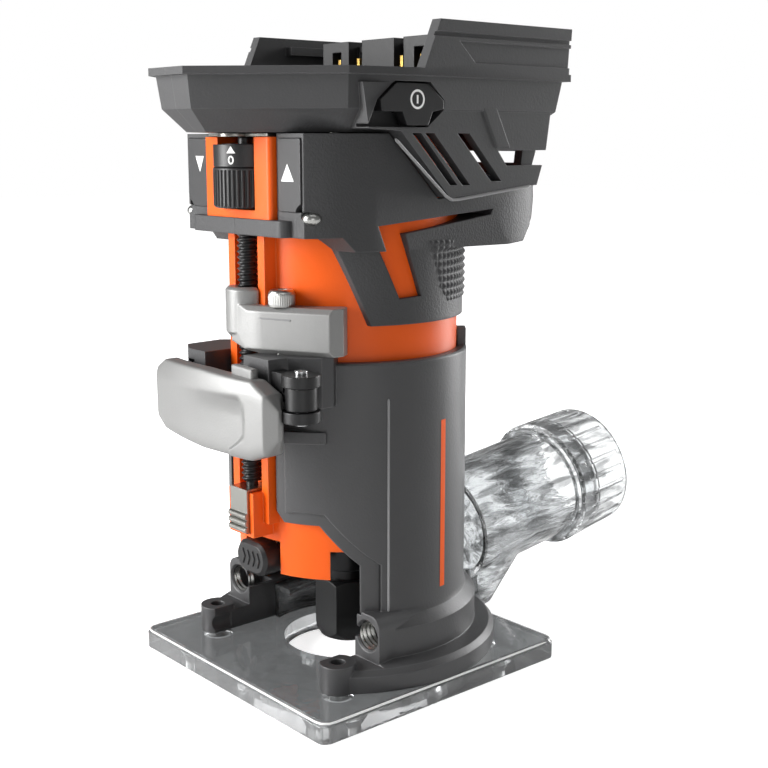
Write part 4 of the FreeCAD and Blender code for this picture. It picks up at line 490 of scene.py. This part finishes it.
def guide_thread(side, reach):
    """A ring of radius r = wall - crest zigzag(depth / pitch - u), carried in along +Y."""
    def point(u, v):
        depth = 0.4 + reach * v
        radius = guide_radius - guide_crest * zigzag(depth / guide_pitch - u)
        return (side * guide_x + radius * np.cos(2 * np.pi * u), guide_mouth_y + depth,
                guide_z + radius * np.sin(2 * np.pi * u))
    return point


for word, side, reach in (("left", -1, 2.6), ("right", 1, 5.8)):
    sheet(f"guide_thread_{word}", guide_thread(side, reach), (49, 90), "zinc_screw", "base",
          core=(side * guide_x, -15, guide_z), inwards=True)

# %% [markdown]
# ## The clamp lever
#
# The lever's solid is a plain curved bar. The real one is cast and sculpted: a crease runs
# along its front below the top edge, and under the crease a finger scoop sinks to a curved
# ridge. A soft rectangle is carried along the bar, and the scoop is a product of ramps
# that only ever pushes its front inwards.

# %% The sculpted lever
lever_half = 29.5
lever_centre_y = 60
lever_front_radius, lever_back_radius = 113.2, 106.8
eye_x, eye_y, eye_radius = 31.3, -40.9, 5.25
outline_x = (-29.5, -26.8, -21.5, 0, 21.5, 26.8, 29.5)
outline_top = (88.5, 93.5, 96.1, 96.45, 95.7, 92.5, 88.5)
outline_low = (82, 78, 75.6, 74.05, 74.05, 76, 80.4)
ridge_z = (76, 78.2, 81.3, 86.1, 91.4)
ridge_x = (14, 17.5, 20.7, 20.4, 18.4)


def lever_walls(x):
    """Front and back y of the bar: two arcs, cut by the end facets and by the hinge eye."""
    front = lever_centre_y - np.sqrt(lever_front_radius ** 2 - x ** 2)
    front = np.maximum(front, -47.2 - (lever_half - np.abs(x)) * 0.94)
    back = lever_centre_y - np.sqrt(lever_back_radius ** 2 - x ** 2)
    eye = eye_y - np.sqrt(np.maximum(eye_radius ** 2 - (x - eye_x) ** 2, 0))
    return front, np.where(x > 26.1, np.minimum(back, eye), back)


def lever_press(x, z):
    """How far the front sinks: the scoop below the crease, and a slope above it."""
    crease = 90.7 + 0.045 * x
    ridge = np.interp(z, ridge_z, ridge_x)
    scoop = ramp(crease - z, 0, 2.2) * ramp(ridge - x, 0, 2.4) * ramp(x, -34, 18)
    return 1.6 * scoop + 0.55 * ramp(z - crease, 0, 6)


def lever(u, v):
    """A boxy ring swept along x: y = middle - half boxy(cos), z = middle + half boxy(sin)."""
    x = np.interp(u, (0, 0.02, 0.12, 0.88, 0.98, 1), (-29.5, -29.45, -26.4, 26.4, 29.45, 29.5))
    front, back = lever_walls(x)
    top = np.interp(x, outline_x, outline_top)
    low = np.interp(x, outline_x, outline_low)
    open_end = np.where((u == 0) | (u == 1), 0.0, 1.0)
    soft_y = boxy(np.cos(2 * np.pi * v), 0.28)
    soft_z = boxy(np.sin(2 * np.pi * v), 0.28)
    z = (top + low) / 2 + open_end * (top - low) / 2 * soft_z
    y = (front + back) / 2 - open_end * (back - front) / 2 * soft_y
    return x, y + lever_press(x, z) * np.clip(soft_y, 0, 1) * open_end, z


sheet("lever_sculpted", lever, (240, 161), "silver_cast", "clamp_lever",
      replaced=("clamp_lever",))


# %% The lug on the lever's top edge
def lever_lug(u, v):
    """The same boxy ring, 9.3 mm long, closed at both ends and a little lower to the right."""
    open_end = np.where((u < 0.01) | (u > 0.99), 0.0, 1.0)
    x = 10.3 + 9.3 * np.clip((u - 0.01) / 0.98, 0, 1)
    return (x, -47.4 - 1.2 * open_end * boxy(np.cos(2 * np.pi * v), 0.25),
            95.9 + open_end * (2.7 - 0.03 * (x - 10)) * boxy(np.sin(2 * np.pi * v), 0.25))


sheet("lever_lug", lever_lug, (40, 33), "silver_cast", "clamp_lever")

# %% [markdown]
# ## Knurled grip patch
#
# The moulded pyramids give the thumb and fingers a hold round the back of the neck. They
# must follow the grip whatever its shape, so rays shot from outside towards the spindle
# axis find the wall first, on a coarse grid, and the pyramids are then stood on it.

# %% Where the wall is
def wall_radius(nodes, angle, height):
    """Distance (mm) from the spindle axis to the outermost wall of these nodes."""
    reach = 120
    trees = [BVHTree.FromPolygons([v.co for v in frame["nodes"][n].data.vertices],
                                  [p.vertices for p in frame["nodes"][n].data.polygons])
             for n in nodes]
    out = np.zeros(angle.shape)
    for spot in np.ndindex(out.shape):
        way = Vector((math.cos(angle[spot]), math.sin(angle[spot]), 0))
        start = way * reach * mm + Vector((0, 0, height[spot] * mm))
        found = [tree.ray_cast(start, -way)[3] for tree in trees]
        out[spot] = reach - min([f for f in found if f is not None], default=reach * mm) / mm
    return out


# %% Pyramids on the wall
knurl_low, knurl_height, knurl_step = 112.6, 18.6, 2.1
neck_radius = 34.6


def knurl(u, v):
    """r = wall + the lower of two zigzags, so four slopes meet at each tip."""
    height = knurl_low + v * knurl_height
    edge = np.radians(np.interp(height, (112.5, 116.8, 123.3, 130.7), (17, 9.5, 5.6, 1.2)))
    angle = edge + u * (np.pi - 2 * edge)
    coarse_u, coarse_v = slice(None, None, 12), slice(None, None, 6)
    wall = wall_radius(("grip_overmold_right", "grip_overmold_left"),
                       angle[coarse_u, coarse_v], height[coarse_u, coarse_v])
    rows = np.stack([np.interp(v[0], v[0, coarse_v], line) for line in wall])
    base = np.stack([np.interp(u[:, 0], u[coarse_u, 0], line) for line in rows.T], axis=1)
    around = zigzag(angle * neck_radius / knurl_step)
    along = zigzag(height / knurl_step)
    fade = ramp(np.minimum(np.minimum(u, 1 - u) * 40, np.minimum(v, 1 - v) * 14), 0, 1)
    fade = fade * ramp(neck_radius + 2 - base, 0, 0.8)
    radius = base - 0.2 + (0.26 + 0.75 * np.minimum(around, along)) * fade
    return radius * np.cos(angle), radius * np.sin(angle), height


sheet("grip_knurl", knurl, (481, 127), "grip_rubber", "motor_unit")

# %% [markdown]
# ## Printed marks
#
# The arrows, the zero mark and the power sign are printed in white ink. Each is a thin
# sheet a few hundredths of a millimetre proud of its surface: a triangle widens from its
# apex to its foot, and a ring is two circles with a strip between them.

# %% Arrows on the two panels
ink = finish("mark_white", "#f6f6f4", rough=0.55, mottle=0.02, depth=0.01)


def panel_arrow(x, apex, foot, half):
    """A triangle in the panel's plane: its width grows from the apex to the foot."""
    return lambda u, v: (x + half * (2 * u - 1) * v, -36.95, apex + (foot - apex) * v)


sheet("mark_up", panel_arrow(21.2, 151.9, 147.3, 2.75), (3, 9), "panel_grey", "motor_unit", ink)
sheet("mark_down", panel_arrow(-20.5, 149.0, 153.5, 2.1), (3, 9), "panel_grey", "motor_unit",
      ink)

# %% The zero mark on the ring
ring_radius = 8.8
ring_turn = math.radians(28.6)


def on_ring(s, z):
    """A point on the zero ring, s millimetres round from its mark: angle = turn + s / r."""
    angle = ring_turn + s / ring_radius
    proud = ring_radius + 0.05
    return proud * np.sin(angle), screw_y - proud * np.cos(angle), z


def zero_arrow(u, v):
    """A triangle wrapped on the ring."""
    return on_ring(1.3 * (2 * u - 1) * v, 156.4 - 1.9 * v)


def zero_digit(u, v):
    """An upright oval ring wrapped on the zero ring."""
    return on_ring((0.45 + 0.4 * v) * np.cos(2 * np.pi * u),
                   152.7 + (0.75 + 0.4 * v) * np.sin(2 * np.pi * u))


sheet("mark_zero_arrow", zero_arrow, (5, 7), "panel_grey", "zero_ring", ink)
sheet("mark_zero", zero_digit, (33, 3), "panel_grey", "zero_ring", ink)

# %% The power sign
sign_x, sign_y, sign_z = 39.85, -7.9, 168.5


def power_ring(u, v):
    """Two circles of radius 1.95 and 2.55 mm and the strip between them."""
    radius = 1.95 + 0.6 * v
    return sign_x, sign_y + radius * np.cos(2 * np.pi * u), sign_z + radius * np.sin(2 * np.pi * u)


def power_bar(u, v):
    """A short upright bar in the ring's middle."""
    return sign_x, sign_y + 0.32 * (2 * u - 1), sign_z + 1.1 * (2 * v - 1)


sheet("mark_power_ring", power_ring, (49, 3), "button_black", "power_button", ink)
sheet("mark_power_bar", power_bar, (3, 3), "button_black", "power_button", ink)


# %% The orange stripe on the tube
def tube_stripe(u, v):
    """A strip of the cylinder r = 36.06: x = r cos a, y = r sin a, z from 29.5 to 79.5."""
    angle = 0.16 + 0.06 * u
    return 36.06 * np.cos(angle), 36.06 * np.sin(angle), 29.5 + 50 * v


sheet("tube_stripe", tube_stripe, (9, 3), "orange_plastic", "base")

# %% [markdown]
# ## Lips, seams and ribs
#
# Raised lines are round beads that follow a path, half sunk in the surface. Only their
# crown is seen. The seams and the bracket line are painted lighter than the surface under
# them, a painted highlight for the line of light a moulded lip or a casting seam catches.
# Each bead thins to a point at both ends, so it closes.

# %% A bead along a path
# Painted highlight: a pale finish for the seams and the bracket line, lighter than the plastic and
# metal under them.
seam_highlight = finish("painted_seam_highlight", "#8d8d8e", "#c8c8c8", radius=0.2, edge_sheen=0.4, rough=0.35, depth=0.02)


def bead(name, path, radius, slot, body, material=None):
    """A round bead of this radius along straight legs through the points of the path."""
    path = np.array(path, float)
    steps = np.concatenate([[0], np.cumsum(np.linalg.norm(np.diff(path, axis=0), axis=1))])
    span = steps / steps[-1]

    def around(u, v):
        """Centre + radius (cos a, sin a) across the path."""
        centre = [np.interp(u, span, path[:, k]) for k in range(3)]
        way = np.stack([np.gradient(c, axis=0) for c in centre])
        way /= np.linalg.norm(way, axis=0) + 1e-9
        side = np.stack([-way[1] - way[2], way[0], way[0]])
        side /= np.linalg.norm(side, axis=0) + 1e-9
        up = np.cross(way, side, axis=0)
        thick = radius * ramp(np.minimum(u, 1 - u), 0, 0.01)
        angle = 2 * np.pi * v
        return [c + thick * (np.cos(angle) * a + np.sin(angle) * b)
                for c, a, b in zip(centre, side, up)]

    return sheet(name, around, (160, 13), slot, body, material)


# %% Seams on both sides, and the line on the bracket
seam_line = ((-15.1, 158.4), (-5, 150), (3.4, 143), (5.6, 141.9), (8.5, 141.9), (37.4, 145))
for word, side in (("left", -1), ("right", 1)):
    bead(f"seam_lip_{word}", [(side * 39.0, y, z) for y, z in seam_line], 0.42,
         "dark_plastic", "motor_unit", seam_highlight)
    bead(f"tube_seam_{word}", [(side * 33.75, -12.6, z) for z in (25.5, 40, 60, 88)], 0.35,
         "cast_satin", "base", seam_highlight)
bead("bracket_line", [(8.6, -39.4, 110.6), (11.5, -39.45, 110.4), (19.5, -35.2, 110.2)], 0.22,
     "silver_cast", "base", seam_highlight)

# %% Ribs on the lock button
for i in range(4):
    x = -3.6 + 2.4 * i
    bead(f"lock_rib_{i}", [(x, -36.6, 36.4), (x + 0.9, -36.6, 38.6), (x - 0.2, -36.6, 40.8)],
         0.4, "button_black", "lock_button")

# %% [markdown]
# ## The bright rim of the sub-base
#
# Light that enters a clear plate leaves it at the edges, so its rim shines. A thin pale
# bead along the top edge stands for that line of light.

# %% A bead round the plate
glint = finish("plate_glint", "#fafafa", rough=0.2, mottle=0.3, grain=700, depth=0.05)
quarter = np.radians(np.arange(0, 91, 15))
corner = [(42.3 + 3.35 * math.cos(a), 42.3 + 3.35 * math.sin(a)) for a in quarter]
rim_path = [(sx * x, sy * y, 5.62)
            for sx, sy in ((1, 1), (-1, 1), (-1, -1), (1, -1))
            for x, y in corner[::sx * sy]]
bead("plate_rim", rim_path + rim_path[:1], 0.32, "clear_acrylic", "base", glint)

# %% [markdown]
# ## Screw heads and the raised band
#
# A flattened dome head peeps out under each arrow panel, the bracket's cap screw has a
# knurled head, and a leaning band stiffens each side of the battery housing.

# %% Dome heads under the panels
def chin_dome(side):
    """r = 2.7 sin b, height 1.9 cos b: a ball squashed along Z."""
    return lambda u, v: (side * 27.6 + 2.7 * np.sin(np.pi * v) * np.cos(2 * np.pi * u),
                         -33.9 + 2.7 * np.sin(np.pi * v) * np.sin(2 * np.pi * u),
                         137.7 + 1.9 * np.cos(np.pi * v))


for word, side in (("left", -1), ("right", 1)):
    sheet(f"chin_screw_{word}", chin_dome(side), (33, 17), "zinc_screw", "motor_unit",
          replaced=("chin_screws",))

# %% Raised bands on the housing
band_face, band_rise = 38.95, 0.45


def pod_band(side):
    """A leaning strip that rises over sloped edges to less than half a millimetre."""
    def point(u, v):
        rise = np.minimum(np.minimum(u, 1 - u) * 12, np.minimum(v, 1 - v) * 24)
        return (side * (band_face + band_rise * np.clip(rise, 0, 1)),
                16.4 + 6 * u + 6.3 * (1 - v), 155.7 + 11.8 * v)
    return point


for word, side in (("right", 1), ("left", -1)):
    sheet(f"pod_band_{word}", pod_band(side), (25, 49), "dark_plastic", "motor_unit")

# %% The knurled head of the bracket screw
head_x, head_y, head_low = 14.2, -34.2, 113.7


def screw_head(u, v):
    """r = 3.5 + 0.22 |sin 18 a|, a cylinder of fine upright ridges that fade at its ends."""
    radius = 3.5 + 0.22 * np.abs(np.sin(36 * np.pi * u)) * ramp(np.minimum(v, 1 - v), 0, 0.12)
    return (head_x + radius * np.cos(2 * np.pi * u), head_y + radius * np.sin(2 * np.pi * u),
            head_low + 3.5 * v)


sheet("cap_screw_knurl", screw_head, (289, 13), "zinc_screw", "base",
      core=(head_x, head_y, 115.5))

# %% [markdown]
# ## Floor, light and camera
#
# A product portrait wants a pale floor, broad soft lamps and a background that reads as
# white. The white comes from the floor's and the world's own colour as the camera and
# the reflections see them, and the lamps stay at a plain level so that a colour renders
# about as it is written.

# %% Pale floor that reads white
def pale_floor():
    """A wide plane that takes a faint shadow near the tool and is plain white further out."""
    mesh = bpy.data.meshes.new("floor")
    size, low = 3.0, -0.0003
    mesh.from_pydata([(-size, -size, low), (size, -size, low), (size, size, low),
                      (-size, size, low)], [], [(0, 1, 2, 3)])
    floor = bpy.data.objects.new("floor", mesh)
    bpy.context.scene.collection.objects.link(floor)
    material = bpy.data.materials.new("floor_paint")
    material.use_nodes = True
    tree = material.node_tree
    shader = tree.nodes["Principled BSDF"]
    shader.inputs["Base Color"].default_value = (0.9, 0.9, 0.9, 1)
    shader.inputs["Roughness"].default_value = 0.9
    shader.inputs["Specular IOR Level"].default_value = 0.0
    shader.inputs["Emission Color"].default_value = (1, 1, 1, 1)
    place = add_node(tree, "ShaderNodeTexCoord", (-1000, 0))
    reach = add_node(tree, "ShaderNodeVectorMath", (-800, 0), operation="LENGTH")
    wire(tree, place.outputs["Object"], reach.inputs[0])
    away = add_node(tree, "ShaderNodeMapRange", (-600, 0))
    wire(tree, reach.outputs["Value"], away.inputs["Value"])
    away.inputs["From Min"].default_value = 0.03
    away.inputs["From Max"].default_value = 0.16
    away.inputs["To Min"].default_value = 0.75
    away.inputs["To Max"].default_value = 1.0
    path = add_node(tree, "ShaderNodeLightPath", (-800, 300))
    seen = add_node(tree, "ShaderNodeMath", (-600, 300), operation="MAXIMUM")
    wire(tree, path.outputs["Is Camera Ray"], seen.inputs[0])
    wire(tree, path.outputs["Is Transmission Ray"], seen.inputs[1])
    glow = add_node(tree, "ShaderNodeMath", (-200, 300), operation="MULTIPLY")
    wire(tree, seen.outputs[0], glow.inputs[0])
    wire(tree, away.outputs["Result"], glow.inputs[1])
    wire(tree, glow.outputs[0], shader.inputs["Emission Strength"])
    mesh.materials.append(material)


pale_floor()
print("floor laid")


# %% World and lamps
def studio_world():
    """Dim grey light, but white where the camera or clear plastic sees it."""
    world = bpy.data.worlds.new("studio")
    bpy.context.scene.world = world
    world.use_nodes = True
    tree = world.node_tree
    back = tree.nodes["Background"]
    path = add_node(tree, "ShaderNodeLightPath", (-800, 0))
    seen = add_node(tree, "ShaderNodeMath", (-600, 0), operation="MAXIMUM")
    wire(tree, path.outputs["Is Camera Ray"], seen.inputs[0])
    wire(tree, path.outputs["Is Transmission Ray"], seen.inputs[1])
    level = add_node(tree, "ShaderNodeMapRange", (-400, 0))
    wire(tree, seen.outputs[0], level.inputs["Value"])
    level.inputs["To Min"].default_value = 0.2
    level.inputs["To Max"].default_value = 1.0
    back.inputs["Color"].default_value = (1, 1, 1, 1)
    wire(tree, level.outputs["Result"], back.inputs["Strength"])


def softbox(name, at, size, power):
    """A rectangular area lamp that faces the middle of the tool."""
    data = bpy.data.lights.new(name, "AREA")
    data.shape = "RECTANGLE"
    data.size, data.size_y = size
    data.energy = power
    lamp = bpy.data.objects.new(name, data)
    bpy.context.scene.collection.objects.link(lamp)
    lamp.location = at
    aim = Vector((0, 0, 0.1)) - Vector(at)
    lamp.rotation_euler = aim.to_track_quat("-Z", "Y").to_euler()


studio_world()
softbox("key_front", (-0.4, -0.8, 0.35), (0.45, 0.7), 15.0)
softbox("fill_right", (0.75, -0.4, 0.15), (0.4, 0.5), 0.9)
softbox("top", (0.05, 0.1, 0.9), (0.6, 0.6), 1.6)
softbox("rim_back", (0.12, 0.8, 0.15), (0.3, 0.8), 8.0)
print("lamps:", len(bpy.data.lights))

# %% Camera
camera_data = bpy.data.cameras.new("camera")
camera_data.lens = 59.04
camera_data.sensor_width = 36
camera_data.clip_start = 0.01
camera = bpy.data.objects.new("camera", camera_data)
bpy.context.scene.collection.objects.link(camera)
camera.location = (0.2901, -0.2367, 0.158)
pitch = math.radians(10.96)
forward = Vector((-0.755 * math.cos(pitch), 0.655 * math.cos(pitch), -math.sin(pitch)))
camera.rotation_euler = forward.to_track_quat("-Z", "Y").to_euler()
bpy.context.scene.camera = camera
bpy.context.scene.view_settings.view_transform = "Standard"
print("lens:", camera_data.lens)
